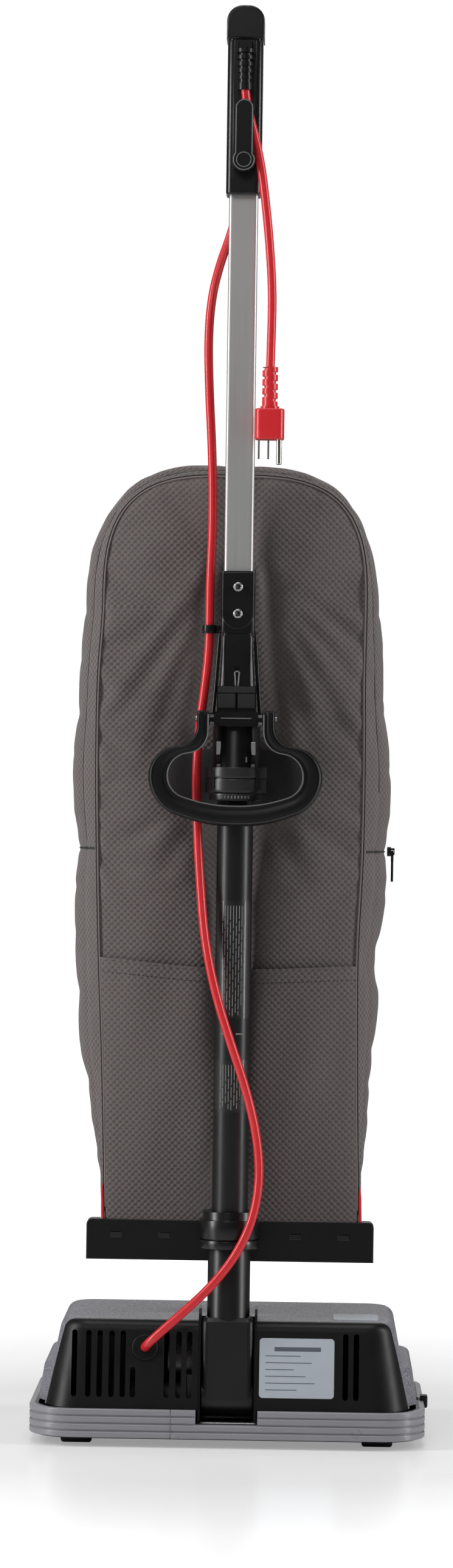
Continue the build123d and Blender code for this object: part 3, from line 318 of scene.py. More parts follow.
TAUPE = tone(104, 96, 94)
RED = tone(226, 42, 50)
DIM = {"Specular_IOR_Level": 0.32}
FINISHES = {
    "black_plastic": moulded("black_satin", tone(17, 17, 18), 0.34, **DIM),
    "cover_black": moulded("cover_grain", tone(16, 16, 17), 0.4, grain_mm=0.5, grain_depth_mm=0.035, **DIM),
    "hood_grey": speckled_plastic(),
    "bumper_grey": moulded("bumper_rubber", tone(146, 146, 152), 0.3, grain_mm=0.6),
    "wand_black": moulded(
        "wand_gloss", tone(15, 15, 16), 0.36, grain_mm=2.0, grain_depth_mm=0.01, smear=0.05,
    ),
    "joint_black": moulded("joint_satin", tone(16, 16, 17), 0.28),
    "loop_black": moulded("loop_rubber", tone(17, 17, 18), 0.36, grain_mm=0.4, grain_depth_mm=0.025, **DIM),
    "blank_label": film("label_film", tone(186, 193, 203)),
    "tube_label": film("tube_film", tone(22, 22, 23), 0.4),
    "handle_metal": anodised(),
    "steel": drawn_metal("plain_steel", tone(190, 190, 192), 0.28),
    "motor_iron": drawn_metal("lacquered_iron", tone(95, 92, 90), 0.5),
    "duct_plastic": moulded("duct_dark", tone(52, 52, 54), 0.5),
    "belt_rubber": moulded("belt_rubber", tone(30, 30, 31), 0.62, grain_mm=0.6, grain_depth_mm=0.04),
    "brush_plastic": moulded("brush_body", tone(44, 44, 46), 0.45),
    "bristle": bristle(),
    "bag_cloth": cloth("bag_cloth", TAUPE),
    "zip_cloth": cloth("zip_tape", tone(40, 38, 38), pitch_mm=1.2, emboss_mm=0.1),
    "zip_metal": moulded("zip_enamel", tone(22, 22, 22), 0.3, smear=0.05),
    "red_trim": pvc("red_piping", RED),
    "bag_paper": paper("filter_paper", tone(205, 190, 160)),
    "bag_card": paper("mount_card", tone(176, 150, 112)),
    "cord_red": pvc("cord_red", RED),
    "plug_metal": drawn_metal("plug_nickel", tone(205, 203, 196), 0.25),
}
DARK_SEAM = moulded("seam_shadow", tone(34, 31, 30), 0.85, grain_mm=0.4, grain_depth_mm=0.05)
# The welt's tone, lighter than the cloth, is a painted highlight along the ridge inside the back seam.
WELT_HIGHLIGHT = moulded("welt_cloth_highlight", tone(128, 118, 115), 0.85, grain_mm=0.5, grain_depth_mm=0.08)
PRINT = film("label_print", tone(92, 98, 108), 0.5)
PALE_PRINT = film("tube_print", tone(150, 150, 150), 0.5)

EDGED = {  # edge softening, in millimetres, that catches the side lights
    "handle_socket": 0.5, "cord_hook": 0.4, "grip_left": 0.5, "grip_right": 0.5, "bag_rail": 0.6,
    "pivot_fork": 0.6, "lower_collar": 0.5, "elbow": 0.4, "cord_clip": 0.3,
}


def finish_cad():
    """Gives each CAD node its slot's finish."""
    for part in frame["record"]["subparts"]:
        shown = frame["nodes"][part["node"]]
        for place in shown.material_slots:
            place.material = FINISHES[part["material_slot"]]
        if part["node"] in EDGED:
            modifier(shown, "WELD", merge_threshold=0.02 * MM)
            width = EDGED[part["node"]] * MM
            modifier(shown, "BEVEL", width=width, segments=2, limit_method="ANGLE", angle_limit=0.7)


# ---- Mesh helpers ---------------------------------------------------------------------
def new_object(name, data):
    made = bpy.data.objects.new(name, data)
    bpy.context.scene.collection.objects.link(made)
    return made


def piece(name, points, faces, material, body, smooth=True):
    """A mesh from points in millimetres, riding on a body."""
    mesh = bpy.data.meshes.new(name)
    mesh.from_pydata([tuple(float(c) * MM for c in p) for p in points], [], faces)
    mesh.validate()
    mesh.update()
    mesh.polygons.foreach_set("use_smooth", [smooth] * len(mesh.polygons))
    made = new_object(name, mesh)
    made.data.materials.append(material)
    if body:
        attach(made, body)
    return made


def set_all(target, **values):
    for key, value in values.items():
        setattr(target, key, value)


def modifier(target, kind, **values):
    set_all(target.modifiers.new(kind.lower(), kind), **values)


def subdivide(target):
    modifier(target, "SUBSURF", levels=1, render_levels=1)


def grid(rows, columns, wrap_columns=False):
    """Quads over a grid of points stored row by row."""
    faces = []
    for i in range(rows - 1):
        here, above = i * columns, (i + 1) * columns
        for j in range(columns if wrap_columns else columns - 1):
            m = (j + 1) % columns
            faces.append((here + j, here + m, above + m, above + j))
    return faces


def tube_faces(rings, around):
    """The sides and the two end caps of a tube."""
    ends = [tuple(reversed(range(around))), tuple((rings - 1) * around + k for k in range(around))]
    return grid(rings, around, wrap_columns=True) + ends


def frames_along(path):
    """Side and up directions along a path, carried without twist."""
    path = np.array(path, float)
    tangents = np.gradient(path, axis=0)
    tangents /= np.linalg.norm(tangents, axis=1)[:, None]
    side = np.cross(tangents[0], (0.31, 0.83, 0.47))
    sides = []
    for tangent in tangents:
        side = side - np.dot(side, tangent) * tangent
        side = side / np.linalg.norm(side)
        sides.append(side)
    sides = np.array(sides)
    return sides, np.cross(tangents, sides)


def tube(name, path, radius, material, body, around=12):
    """A round tube along a path in millimetres; the radius is one number or one for each point."""
    path = np.array(path, float)
    radii = np.broadcast_to(np.asarray(radius, float), (len(path),))
    sides, ups = frames_along(path)
    angles = np.arange(around) * 2 * math.pi / around
    rings = [
        path[i] + radii[i] * (np.cos(a) * sides[i] + np.sin(a) * ups[i])
        for i in range(len(path)) for a in angles
    ]
    return piece(name, rings, tube_faces(len(path), around), material, body)


def smooth_line(points, per_span=8):
    """A Catmull-Rom line through given points."""
    points = [np.array(p, float) for p in points]
    padded = [2 * points[0] - points[1]] + points + [2 * points[-1] - points[-2]]
    line = []
    for a, b, c, d in zip(padded, padded[1:], padded[2:], padded[3:]):
        for step in range(per_span):
            t = step / per_span
            line.append(0.5 * (
                2 * b + (c - a) * t + (2 * a - 5 * b + 4 * c - d) * t ** 2
                + (3 * b - a - 3 * c + d) * t ** 3
            ))
    return np.array(line + [points[-1]])


def arc(start, middle, end, steps):
    """Points on the circle through three points in a plane, without the last."""
    (x1, y1), (x2, y2), (x3, y3) = start, middle, end
    d = 2 * (x1 * (y2 - y3) + x2 * (y3 - y1) + x3 * (y1 - y2))
    s1, s2, s3 = x1 * x1 + y1 * y1, x2 * x2 + y2 * y2, x3 * x3 + y3 * y3
    cx = (s1 * (y2 - y3) + s2 * (y3 - y1) + s3 * (y1 - y2)) / d
    cy = (s1 * (x3 - x2) + s2 * (x1 - x3) + s3 * (x2 - x1)) / d
    radius = math.hypot(x1 - cx, y1 - cy)
    a1, a2, a3 = (math.atan2(y - cy, x - cx) for x, y in (start, middle, end))
    turn = (a3 - a1) % (2 * math.pi)
    if (a2 - a1) % (2 * math.pi) > turn:
        turn -= 2 * math.pi
    return [
        (cx + radius * math.cos(a1 + turn * k / steps), cy + radius * math.sin(a1 + turn * k / steps))
        for k in range(steps)
    ]


def signed_power(value, power):
    return math.copysign(abs(value) ** power, value)


def circle(x, y, z, radius, start=0.0, end=2 * math.pi, count=33):
    """Points round an arc that faces the rear."""
    return [(x + radius * math.cos(a), y, z + radius * math.sin(a)) for a in np.linspace(start, end, count)]


def box_points(center, size, lean=0.0):
    """The corners of a small block, leaning about X."""
    corners = []
    for sx in (-0.5, 0.5):
        for sy in (-0.5, 0.5):
            for sz in (-0.5, 0.5):
                x, y, z = sx * size[0], sy * size[1], sz * size[2]
                corners.append((
                    center[0] + x,
                    center[1] + y * math.cos(lean) - z * math.sin(lean),
                    center[2] + y * math.sin(lean) + z * math.cos(lean),
                ))
    return corners


BOX_FACES = [(0, 1, 3, 2), (4, 6, 7, 5), (0, 4, 5, 1), (2, 3, 7, 6), (0, 2, 6, 4), (1, 5, 7, 3)]


def blocks(name, blocks_list, material, body, bevel_mm=0.3):
    """Small bevelled blocks joined into one piece; each is a centre, a size and a lean."""
    points, faces = [], []
    for center, size, lean in blocks_list:
        first = len(points)
        points += box_points(center, size, lean)
        faces += [tuple(first + k for k in face) for face in BOX_FACES]
    made = piece(name, points, faces, material, body, smooth=False)
    modifier(made, "BEVEL", width=bevel_mm * MM, segments=2, limit_method="ANGLE")
    return made


# ---- The cloth bag --------------------------------------------------------------------
ARCH_LOW = 706.0
ARCH_POWER = 3.1
SEAM_TOP = 815.5
BACK_EDGES = np.array([  # height, left and right seam of the back panel
    (184, -107.0, 109.3), (325, -111.4, 106.3), (408, -115.3, 105.6), (502, -118.3, 109.0),
    (590, -119.9, 109.3), (650, -119.2, 108.6), (706, -115.8, 109.2), (830, -114.0, 109.2),
], float)
GUSSET_BULGE = np.array([  # height, how far the left and the right gusset swell past the seam
    (184, 3.5, 2.5), (228, 5.0, 3.5), (264, 9.0, 7.0), (300, 14.0, 10.5), (326, 20.0, 14.0),
    (380, 20.5, 18.0), (404, 21.0, 15.0), (434, 21.0, 19.0), (471, 19.5, 21.0), (499, 17.0, 19.5),
    (536, 20.5, 22.5), (573, 21.0, 22.0), (619, 18.2, 18.0), (665, 17.0, 15.0), (706, 16.2, 11.5),
    (745, 14.0, 7.5), (775, 10.0, 5.5), (830, 9.5, 9.5),
], float)
FRONT_Y = np.array([  # height, how far forward the bag reaches
    (184, -44.0), (222, 4.0), (290, 40.0), (380, 62.0), (470, 70.0), (560, 70.5), (660, 63.0),
    (730, 49.0), (775, 33.0), (803, 14.0), (830, -12.0),
], float)


def eased(table, height, column=1):
    """A smooth reading of one column of a table at a height."""
    heights, values = table[:, 0], table[:, column]
    slopes = np.gradient(values, heights)
    k = int(np.clip(np.searchsorted(heights, height) - 1, 0, len(heights) - 2))
    gap = heights[k + 1] - heights[k]
    t = min(max((height - heights[k]) / gap, 0.0), 1.0)
    h00, h10 = 2 * t ** 3 - 3 * t ** 2 + 1, t ** 3 - 2 * t ** 2 + t
    h01, h11 = -2 * t ** 3 + 3 * t ** 2, t ** 3 - t ** 2
    return h00 * values[k] + h10 * gap * slopes[k] + h01 * values[k + 1] + h11 * gap * slopes[k + 1]


SIDE_STEPS = 132
ARCH_STEPS = 34
SEAM_MIDDLE = -4.5


def seam_point(s, share=1.0):
    """A point (x, z) and outward direction on the back seam, scaled towards the middle by a share.

    s runs 0 to 1 up the left side, 1 to 3 over the arch and 3 to 4 down the right side.
    """
    if s < 1 or s > 3:
        climb = s if s < 1 else 4 - s
        z = BAG_LO[2] + climb * (ARCH_LOW - BAG_LO[2])
        edge = eased(BACK_EDGES, z, 1 if s < 1 else 2)
        core = SEAM_MIDDLE * min(1.0, max(0.0, (z - 200) / 200))
        return core + (edge - core) * share, z, (-1.0 if s < 1 else 1.0), 0.0
    angle = math.pi - (s - 1) / 2 * math.pi
    c, n = math.cos(angle), math.sin(angle)
    half = abs(eased(BACK_EDGES, ARCH_LOW, 2 if c > 0 else 1) - SEAM_MIDDLE)
    rise = SEAM_TOP - ARCH_LOW
    px, pz = abs(c) ** (2 / ARCH_POWER), abs(n) ** (2 / ARCH_POWER)
    x = SEAM_MIDDLE + math.copysign(px * half * share, c)
    nx, nz = math.copysign(px ** (ARCH_POWER - 1) / half, c), pz ** (ARCH_POWER - 1) / rise
    length = math.hypot(nx, nz) or 1.0
    return x, ARCH_LOW + pz * rise * share, nx / length, nz / length


SPOUT_Z = 585.0
PULL_TOP = 742.0
# Side, lean from the vertical, depth and width of each pull crease below the handle bracket.
PULLS = (
    (-1, 0.16, 4.4, 6.5), (-1, 0.36, 4.2, 6.0), (-1, 0.6, 3.8, 6.5),
    (1, 0.14, 4.6, 6.5), (1, 0.32, 4.6, 5.5), (1, 0.52, 4.4, 5.5), (1, 0.74, 3.8, 5.5), (1, 0.98, 2.4, 6.0),
)
# The same, for the creases that fan down and out from the spout.
SPOUT_PULLS = (
    (-1, 0.5, 3.0, 9.0), (-1, 0.95, 1.8, 10.0), (1, 0.45, 3.2, 9.0), (1, 0.9, 2.0, 10.0),
)


def crease(across, along, depth, width, length):
    """A pull crease: a valley with a softer ridge on its outer side, fading along its length."""
    if along <= 0:
        return 0.0
    fade = (1 - math.exp(-along / 18)) * math.exp(-(along / length) ** 2)
    valley = math.exp(-(across / width) ** 2)
    ridge = 0.55 * math.exp(-((across - 1.9 * width) / (1.2 * width)) ** 2)
    return depth * fade * (ridge - valley)


def back_depth(x, z):
    """How far the back panel swells to the rear around the wand's valley and the pull creases."""
    left, right = eased(BACK_EDGES, z, 1), eased(BACK_EDGES, z, 2)
    mid, half = (left + right) / 2, (right - left) / 2
    u = max(-1.0, min(1.0, (x - mid) / half))
    tall = min(1.0, max(0.0, (SEAM_TOP - z) / 55)) ** 0.5 * min(1.0, max(0.0, (z - BAG_LO[2]) / 120)) ** 0.7
    swell = 16.0 * (1 - abs(u) ** 2.4) * tall
    # The spout draws the middle in: the valley is widest beside it and narrows up to the bracket.
    reach = 165.0 if z > SPOUT_Z else 130.0
    width = 17.0 + 36.0 * max(0.0, 1 - abs(z - SPOUT_Z) / reach)
    hold = 0.95 if z > 420 else 0.95 - 0.55 * min(1.0, (420 - z) / 120)
    swell *= 1 - hold / (1 + (abs(x + 2) / width) ** 3.4)
    folds = 0.0
    for side, lean, depth, wide in PULLS:
        run, drop = side * x - 13, PULL_TOP - z
        across = run * math.cos(lean) - drop * math.sin(lean)
        folds += crease(across, run * math.sin(lean) + drop * math.cos(lean), depth, wide, 150.0)
    for side, lean, depth, wide in SPOUT_PULLS:
        run, drop = side * x - 20, SPOUT_Z - 30 - z
        across = run * math.cos(lean) - drop * math.sin(lean)
        folds += crease(across, run * math.sin(lean) + drop * math.cos(lean), depth, wide, 85.0)
    rumple = 1.5 * math.sin(x / 19 + z / 61) * math.sin(z / 73 - x / 31) + 0.5 * math.sin(x / 9 - z / 27)
    return swell + (folds + rumple * tall) * (1 - abs(u) ** 4)


def fold_shade(x, z):
    """Painted shade, from 0 to 0.9: how far the cloth's colour darkens in the hollows beside the wand."""
    reach = 175.0 if z > SPOUT_Z else 165.0
    near = max(0.0, 1 - abs(z - SPOUT_Z) / reach)
    width = 20.0 + 44.0 * near
    return (0.3 + 0.6 * near ** 0.7) * math.exp(-((abs(x + 1) / width) ** 2.2))


def back_y(x, z):
    return BAG_BACK - back_depth(x, z)


def zip_dent(z):
    return -2.2 * math.exp(-((z - ZIP_Z) / 3.0) ** 2)


RIDGE_SHARE, RIDGE_RISE = 0.991, 1.1  # the back panel stands up just inside its seam
BACK_SHARES = [0.0, 0.04, 0.08, 0.13, 0.18, 0.24, 0.3, 0.36, 0.42, 0.48, 0.54, 0.6, 0.66, 0.72, 0.78, 0.83,
               0.88, 0.92, 0.95, 0.97, 0.982, RIDGE_SHARE, 1.0]
GUSSET_STEPS = 26
SECOND_SEAM, SEAM_TUCK = 7, 1.6
FRONT_SHARES = list(reversed([0.0, 0.1, 0.2, 0.3, 0.4, 0.5, 0.58, 0.66, 0.73, 0.8, 0.86, 0.91, 0.95, 0.98]))


def gusset_point(s, q):
    """A point on the side strip: q runs from 0 at the back seam to 1 at the front edge."""
    x, z, nx, nz = seam_point(s)
    left = s < 2
    bulge = eased(GUSSET_BULGE, z, 1 if left else 2)
    front = eased(FRONT_Y, z) - 24 * min(1.0, (eased(FRONT_Y, z) + 44) / 60)
    y = BAG_BACK + 3 + (front - BAG_BACK - 3) * q
    if q < 0.42:
        lift = math.sin(math.pi * min(1.0, 0.5 * (q / 0.42)))
    else:
        lift = math.cos((q - 0.42) / 0.58 * 1.15) ** 0.8
    out = bulge * lift
    wrinkle = 0.0
    if 1 > s or s > 3:
        wrinkle = 0.9 * math.sin(z / 23 + y / 31) * math.sin(y / 19 - z / 47) * math.sin(math.pi * q)
        wrinkle += zip_dent(z) * min(1.0, q * 12)
    return x + nx * (out + wrinkle), y, z + nz * (out + wrinkle)


def front_point(s, share):
    """A point on the front panel, which swells forward from the gusset's front edge."""
    ex, ey, ez = gusset_point(s, 1.0)
    cx, cz, _, _ = seam_point(s, 0.0)
    inner = share ** 0.9
    x, z = cx + (ex - cx) * inner, cz + (ez - cz) * inner
    front = eased(FRONT_Y, min(z, 740.0 + (z - 740) * 0.4))
    rounded = (1 - share ** 3.2) ** 0.5
    y = ey + (front - ey) * rounded
    y += 0.8 * math.sin(x / 21 + z / 37) * math.sin(z / 43 - x / 33) * rounded
    return x, y + zip_dent(z) * 0.5, z


CROWN_LIFT, CROWN_FOOT = 5.5, 690.0


def crowned(z):
    """A height on the bag, with its top lifted."""
    return z + CROWN_LIFT * max(0.0, (z - CROWN_FOOT) / (BAG_TOP - CROWN_FOOT)) ** 1.4


def bag_mesh():
    """The whole cloth shell as nested arches, from the back panel's middle round to the front panel's."""
    side = list(np.linspace(0, 1, SIDE_STEPS, endpoint=False))
    arch = list(np.linspace(1, 3, 2 * ARCH_STEPS, endpoint=False))
    stations = side + arch + [4 - s for s in reversed(side)]
    stations.insert(len(side) + len(arch), 3.0)
    rows = []
    for share in BACK_SHARES:
        row = []
        for s in stations:
            x, z, _, _ = seam_point(s, share)
            y = back_y(x, z) if share < 1 else BAG_BACK + 1.5
            edge = max(0.0, (share - 0.9) / 0.1)
            y = y * (1 - edge ** 3) + (BAG_BACK + 0.5) * edge ** 3
            if share == RIDGE_SHARE:
                y -= RIDGE_RISE
            row.append((x, y, z))
        rows.append(row)
    for step in range(1, GUSSET_STEPS + 1):
        q = (step / GUSSET_STEPS) ** 1.35
        row = []
        for s in stations:
            x, y, z = gusset_point(s, q)
            if step == SECOND_SEAM:
                _, _, nx, nz = seam_point(s)
                x, z = x - nx * SEAM_TUCK, z - nz * SEAM_TUCK
            row.append((x, y, z))
        rows.append(row)
    for share in FRONT_SHARES:
        rows.append([front_point(s, share) for s in stations])
    rows = [[(x, y, crowned(z)) for x, y, z in row] for row in rows]
    points = [p for row in rows for p in row]
    faces = grid(len(rows), len(stations))
    return rows, stations, points, faces


def add_weave(target, coordinates):
    """Stores cloth coordinates, in metres, for the weave, with the painted fold shade in the third part."""
    weave = target.data.attributes.new("weave", "FLOAT_VECTOR", "POINT")
    flat = np.array(coordinates, np.float32).reshape(-1, 3)
    for row, vertex in zip(flat, target.data.vertices):
        x, y, z = (c / MM for c in vertex.co)
        row[2] = fold_shade(x, z) if y < BAG_BACK + 60 else 0.0
    weave.data.foreach_set("vector", flat.ravel())


def weave_coordinates(rows):
    """Cloth coordinates: the distance across the rows, and the height."""
    grid_points = np.array(rows) * MM
    steps = np.linalg.norm(np.diff(grid_points, axis=0), axis=2)
    across = np.concatenate([np.zeros((1, grid_points.shape[1])), np.cumsum(steps, axis=0)])
    # The left and right halves run away from the middle in opposite directions.
    on_left = grid_points[:, :, 0] < grid_points[0:1, :, 0]
    across = np.where(on_left, -across, across)
    flat = np.stack([across, grid_points[:, :, 2], np.zeros_like(across)], axis=2)
    back = len(BACK_SHARES)
    flat[:back, :, 0] = grid_points[:back, :, 0]
    way = np.where(on_left[back - 1], -1, 1)
    flat[back:, :, 0] += grid_points[back - 1, :, 0] - way * np.abs(across[back - 1])
    return flat.reshape(-1, 3)


GUSSET_FREE = 0.5


def free_share(x, z, row, last_row):
    """How free a point of the shell is to move under the air inside it: 0 at seams and fittings, 1 away."""
    def away(distance, reach):
        return min(1.0, max(0.0, distance / reach))

    seam_row = len(BACK_SHARES) - 1
    share = away(abs(row - seam_row) - 1, 3.0) * away(abs(row - seam_row - SECOND_SEAM), 2.0)
    share *= away(z - BAG_LO[2] - 6, 45.0) * away(last_row - 1 - row, 3.0)
    if row > seam_row:
        return GUSSET_FREE * share * away(abs(z - ZIP_Z) - 7, 24.0)
    # The back panel is held by the pocket, the spout's patch and the wand's valley.
    patch = math.hypot((x + 1) / 72.0, (z - 561.0) / 36.0) - 1
    return share * away(z - 440, 40.0) * away(patch * 40, 25.0) * away(abs(x) - 26, 24.0)


def inflate(bag, rows, frames=20, most_mm=4.0):
    """Runs a short cloth simulation under light air pressure and keeps its puckers, within a limit."""
    # The first and last rows fold onto a line, so the trial leaves them out.
    inner = rows[1:-1]
    columns = len(rows[0])
    free = [free_share(x, z, row + 1, len(rows) - 1) for row, line in enumerate(inner) for x, _, z in line]
    start = np.array(inner).reshape(-1, 3) * MM
    mesh = bpy.data.meshes.new("bag_trial")
    mesh.from_pydata(start.tolist(), [], grid(len(inner), columns))
    trial = new_object("bag_trial", mesh)
    held = trial.vertex_groups.new(name="held")
    for index, share in enumerate(free):
        held.add([index], 1.0 if share < 0.05 else 0.25 * (1 - share), "REPLACE")
    air = trial.modifiers.new("air", "CLOTH").settings
    set_all(
        air, quality=6, mass=0.25, tension_stiffness=18, compression_stiffness=18, shear_stiffness=8,
        bending_stiffness=0.8, vertex_group_mass="held", use_pressure=True, uniform_pressure_force=4.0,
        shrink_min=-0.03,
    )
    air.effector_weights.gravity = 0.0
    scene = bpy.context.scene
    for frame_number in range(1, frames + 1):
        scene.frame_set(frame_number)
    shown = trial.evaluated_get(bpy.context.evaluated_depsgraph_get())
    moved = np.array([vertex.co[:] for vertex in shown.data.vertices])
    shift = np.nan_to_num(moved - start)
    length = np.linalg.norm(shift, axis=1, keepdims=True)
    most = most_mm * MM
    shift *= np.array(free)[:, None] * most * np.tanh(length / most) / np.maximum(length, 1e-9)
    spread = np.zeros((len(rows), columns, 3))
    spread[1:-1] = shift.reshape(len(inner), columns, 3)
    spread[1:-1] = 0.25 * spread[:-2] + 0.5 * spread[1:-1] + 0.25 * spread[2:]
    bag.data.vertices.foreach_set("co", (np.array(rows) * MM + spread).ravel())
    bag.data.update()
    scene.frame_set(1)
    bpy.data.objects.remove(trial)


def make_bag():
    """The cloth shell with the welt, whose lighter tone is a painted highlight, and the dark lines of its
    seams.
    """
    rows, stations, points, faces = bag_mesh()
    bag = piece("bag_shell", points, faces, FINISHES["bag_cloth"], "wand")
    add_weave(bag, weave_coordinates(rows))
    inflate(bag, rows)
    subdivide(bag)
    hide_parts("outer_bag")
    seam_row = rows[len(BACK_SHARES) - 1]
    inner_row = rows[len(BACK_SHARES) - 2]
    welt_line = [(x, y - 0.1, z) for x, y, z in inner_row[3:-3]]
    welt = tube("bag_back_welt", welt_line, 0.85, WELT_HIGHLIGHT, "wand", around=8)
    groove = tube("bag_back_seam", seam_row[2:-2], 1.0, DARK_SEAM, "wand", around=8)
    side_row = rows[len(BACK_SHARES) - 1 + SECOND_SEAM]
    first = next(i for i, s in enumerate(stations) if s > 0.62)
    last = next(i for i, s in enumerate(stations) if s > 3.3)
    second = tube("bag_side_seam", side_row[first:last], 0.8, DARK_SEAM, "wand", around=8)
    return bag, rows


def panel_strip(name, xs, zs, offset, material, thickness):
    """A cloth panel that lies on the back of the bag."""
    points, weave = [], []
    for z in zs:
        for x in xs:
            left, right = eased(BACK_EDGES, z, 1), eased(BACK_EDGES, z, 2)
            px = left + (right - left) * x
            top = zs[-1] - 5.0 * x - 5.5 * math.sin(math.pi * x) ** 1.5
            pz = BAG_LO[2] + (z - BAG_LO[2]) * (top - BAG_LO[2]) / (zs[-1] - BAG_LO[2])
            gap = offset + 3.4 * max(0.0, (z - zs[-1] + 34) / 34) ** 2 * math.sin(math.pi * x) ** 0.5
            edge = min(1.0, (0.5 - abs(x - 0.5)) / 0.03)
            points.append((px, back_y(px, pz) * edge + (BAG_BACK - 0.5) * (1 - edge) - gap * edge, pz))
            weave.append((px * MM + 0.0013, pz * MM, 0.0))
    made = piece(name, points, grid(len(zs), len(xs)), material, "wand")
    add_weave(made, weave)
    modifier(made, "SOLIDIFY", thickness=thickness * MM, offset=1.0)
    subdivide(made)
    return made, points


def make_pocket():
    """The open pocket over the lower back, with a turned hem and a row of stitches."""
    top = 408.0
    xs = np.linspace(0.006, 0.994, 60)
    zs = np.concatenate([np.linspace(BAG_LO[2] + 1, top - 20, 44), np.linspace(top - 18, top, 12)])
    pocket, points = panel_strip("pocket_cloth", xs, zs, 1.2, FINISHES["bag_cloth"], 1.0)
    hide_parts("back_pocket")
    rim = [(x, y - 0.3, z - 0.4) for x, y, z in points[-len(xs):]]
    hem = tube("pocket_hem", rim, 1.15, FINISHES["bag_cloth"], "wand", 8)
    add_weave(hem, [(v.co.x, v.co.z, 0.0) for v in hem.data.vertices])
    line = smooth_line(points[-8 * len(xs):-7 * len(xs)], 4)
    stitches, travelled, gap = [], 0.0, 3.4
    for before, here in zip(line, line[1:]):
        travelled += np.linalg.norm(here - before)
        if travelled > gap:
            travelled = 0.0
            stitches.append(((here[0], here[1] - 1.0, here[2]), (2.3, 0.5, 0.55), 0.0))
    row = blocks("pocket_stitches", stitches, DARK_SEAM, "wand", 0.2)


def side_path(rows, z_target, side):
    """Points on the bag's surface at one height, along the rows of one side."""
    path = []
    for row in rows:
        half = row[:len(row) // 2] if side < 0 else row[len(row) // 2:]
        path.append(min(half, key=lambda p: abs(p[2] - z_target)))
    return np.array(path, float)


def away_from(middle, point):
    """The level direction from a middle to a point."""
    way = point[:2] - middle
    return way / np.linalg.norm(way)


def make_zip(rows):
    """The zip around the front and both sides: a dark tape and two rows of teeth."""
    rows = rows[len(BACK_SHARES) + 2:]
    loop = np.concatenate([side_path(rows, ZIP_Z, -1), side_path(rows, ZIP_Z, 1)[::-1]])
    loop[:, 2] = ZIP_Z
    middle = loop[:, :2].mean(axis=0)
    out = loop[:, :2] - middle
    out /= np.linalg.norm(out, axis=1)[:, None]
    loop[:, :2] += out * 1.2
    keep = [loop[0]]
    for p in loop[1:]:
        if np.linalg.norm(p - keep[-1]) > 2.0:
            keep.append(p)
    line = smooth_line(keep, 3)
    strip, weave = [], []
    distance = 0.0
    for i, p in enumerate(line):
        distance += np.linalg.norm(p - line[i - 1]) if i else 0.0
        n = away_from(middle, p)
        for dz, dip in ((-1.3, -1.5), (-0.8, -0.6), (0.0, -0.4), (0.8, -0.6), (1.3, -1.5)):
            strip.append((p[0] + n[0] * dip, p[1] + n[1] * dip, p[2] + dz))
            weave.append((distance * MM, dz * MM, 0.0))
    tape = piece("zip_strip", strip, grid(len(line), 5), FINISHES["zip_cloth"], "wand")
    add_weave(tape, weave)
    modifier(tape, "SOLIDIFY", thickness=0.6 * MM, offset=0.0)
    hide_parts("zip_tape")
    teeth, travelled, number = [], 0.0, 0
    for before, here in zip(line, line[1:]):
        travelled += np.linalg.norm(here - before)
        if travelled > 1.7:
            travelled, number = 0.0, number + 1
            n = away_from(middle, here)
            dz = 0.2 if number % 2 else -0.2
            teeth.append(((here[0] - n[0] * 0.2, here[1] - n[1] * 0.2, here[2] + dz), (0.8, 0.8, 0.8), 0.0))
    chain = blocks("zip_teeth", teeth, FINISHES["zip_metal"], "wand", 0.2)


def make_red_piping():
    """Red piping in the side seams, just above the rail."""
    for side, name in ((1, "red_piping_left"), (2, "red_piping_right")):
        way = -1 if side == 1 else 1
        line = []
        for z in np.linspace(RAIL_TOP - 2, 216, 14):
            edge = eased(BACK_EDGES, z, side) + way * SEAM_TUCK
            line.append((edge, BAG_BACK - 0.6, z))
        radii = [1.35] * 10 + [1.2, 1.0, 0.7, 0.3]
        made = tube(name, line, radii, FINISHES["red_trim"], "wand", 10)
        if side == 1:
            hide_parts("red_tabs")


# ---- The hand loop --------------------------------------------------------------------
LOOP_OUTER = [
    ((33, 618), None, (33, 604)), ((33, 604), (37.5, 594.5), (47, 589.5)),
    ((47, 589.5), (66.5, 581), (73.5, 563)), ((73.5, 563), (67.5, 544), (47, 530)),
    ((47, 530), (24, 523.5), (0, 522)),
]
LOOP_INNER = [
    ((23, 618), None, (23, 602)), ((23, 602), (27.5, 589), (38, 583)),
    ((38, 583), (52, 576.5), (56.3, 563)), ((56.3, 563), (52.5, 552.5), (42, 546)),
    ((42, 546), (22, 541), (0, 539.5)),
]


def outline(spans, steps=14):
    """Half an outline from straight and round spans, then its mirror image."""
    half = []
    for start, middle, end in spans:
        if middle is None:
            half += [
                (start[0] + (end[0] - start[0]) * k / steps, start[1] + (end[1] - start[1]) * k / steps)
                for k in range(steps)
            ]
        else:
            half += arc(start, middle, end, steps)
    return half + [spans[-1][2]] + [(-x, z) for x, z in reversed(half)]


# Light and mid grey for thin lines along the loop's inner and outer edges: painted highlights on the black
# bar.
LOOP_HIGHLIGHT = {
    "inner": moulded("loop_lip_highlight", tone(104, 104, 106), 0.35),
    "outer": moulded("loop_rim_highlight", tone(40, 40, 41), 0.35),
}


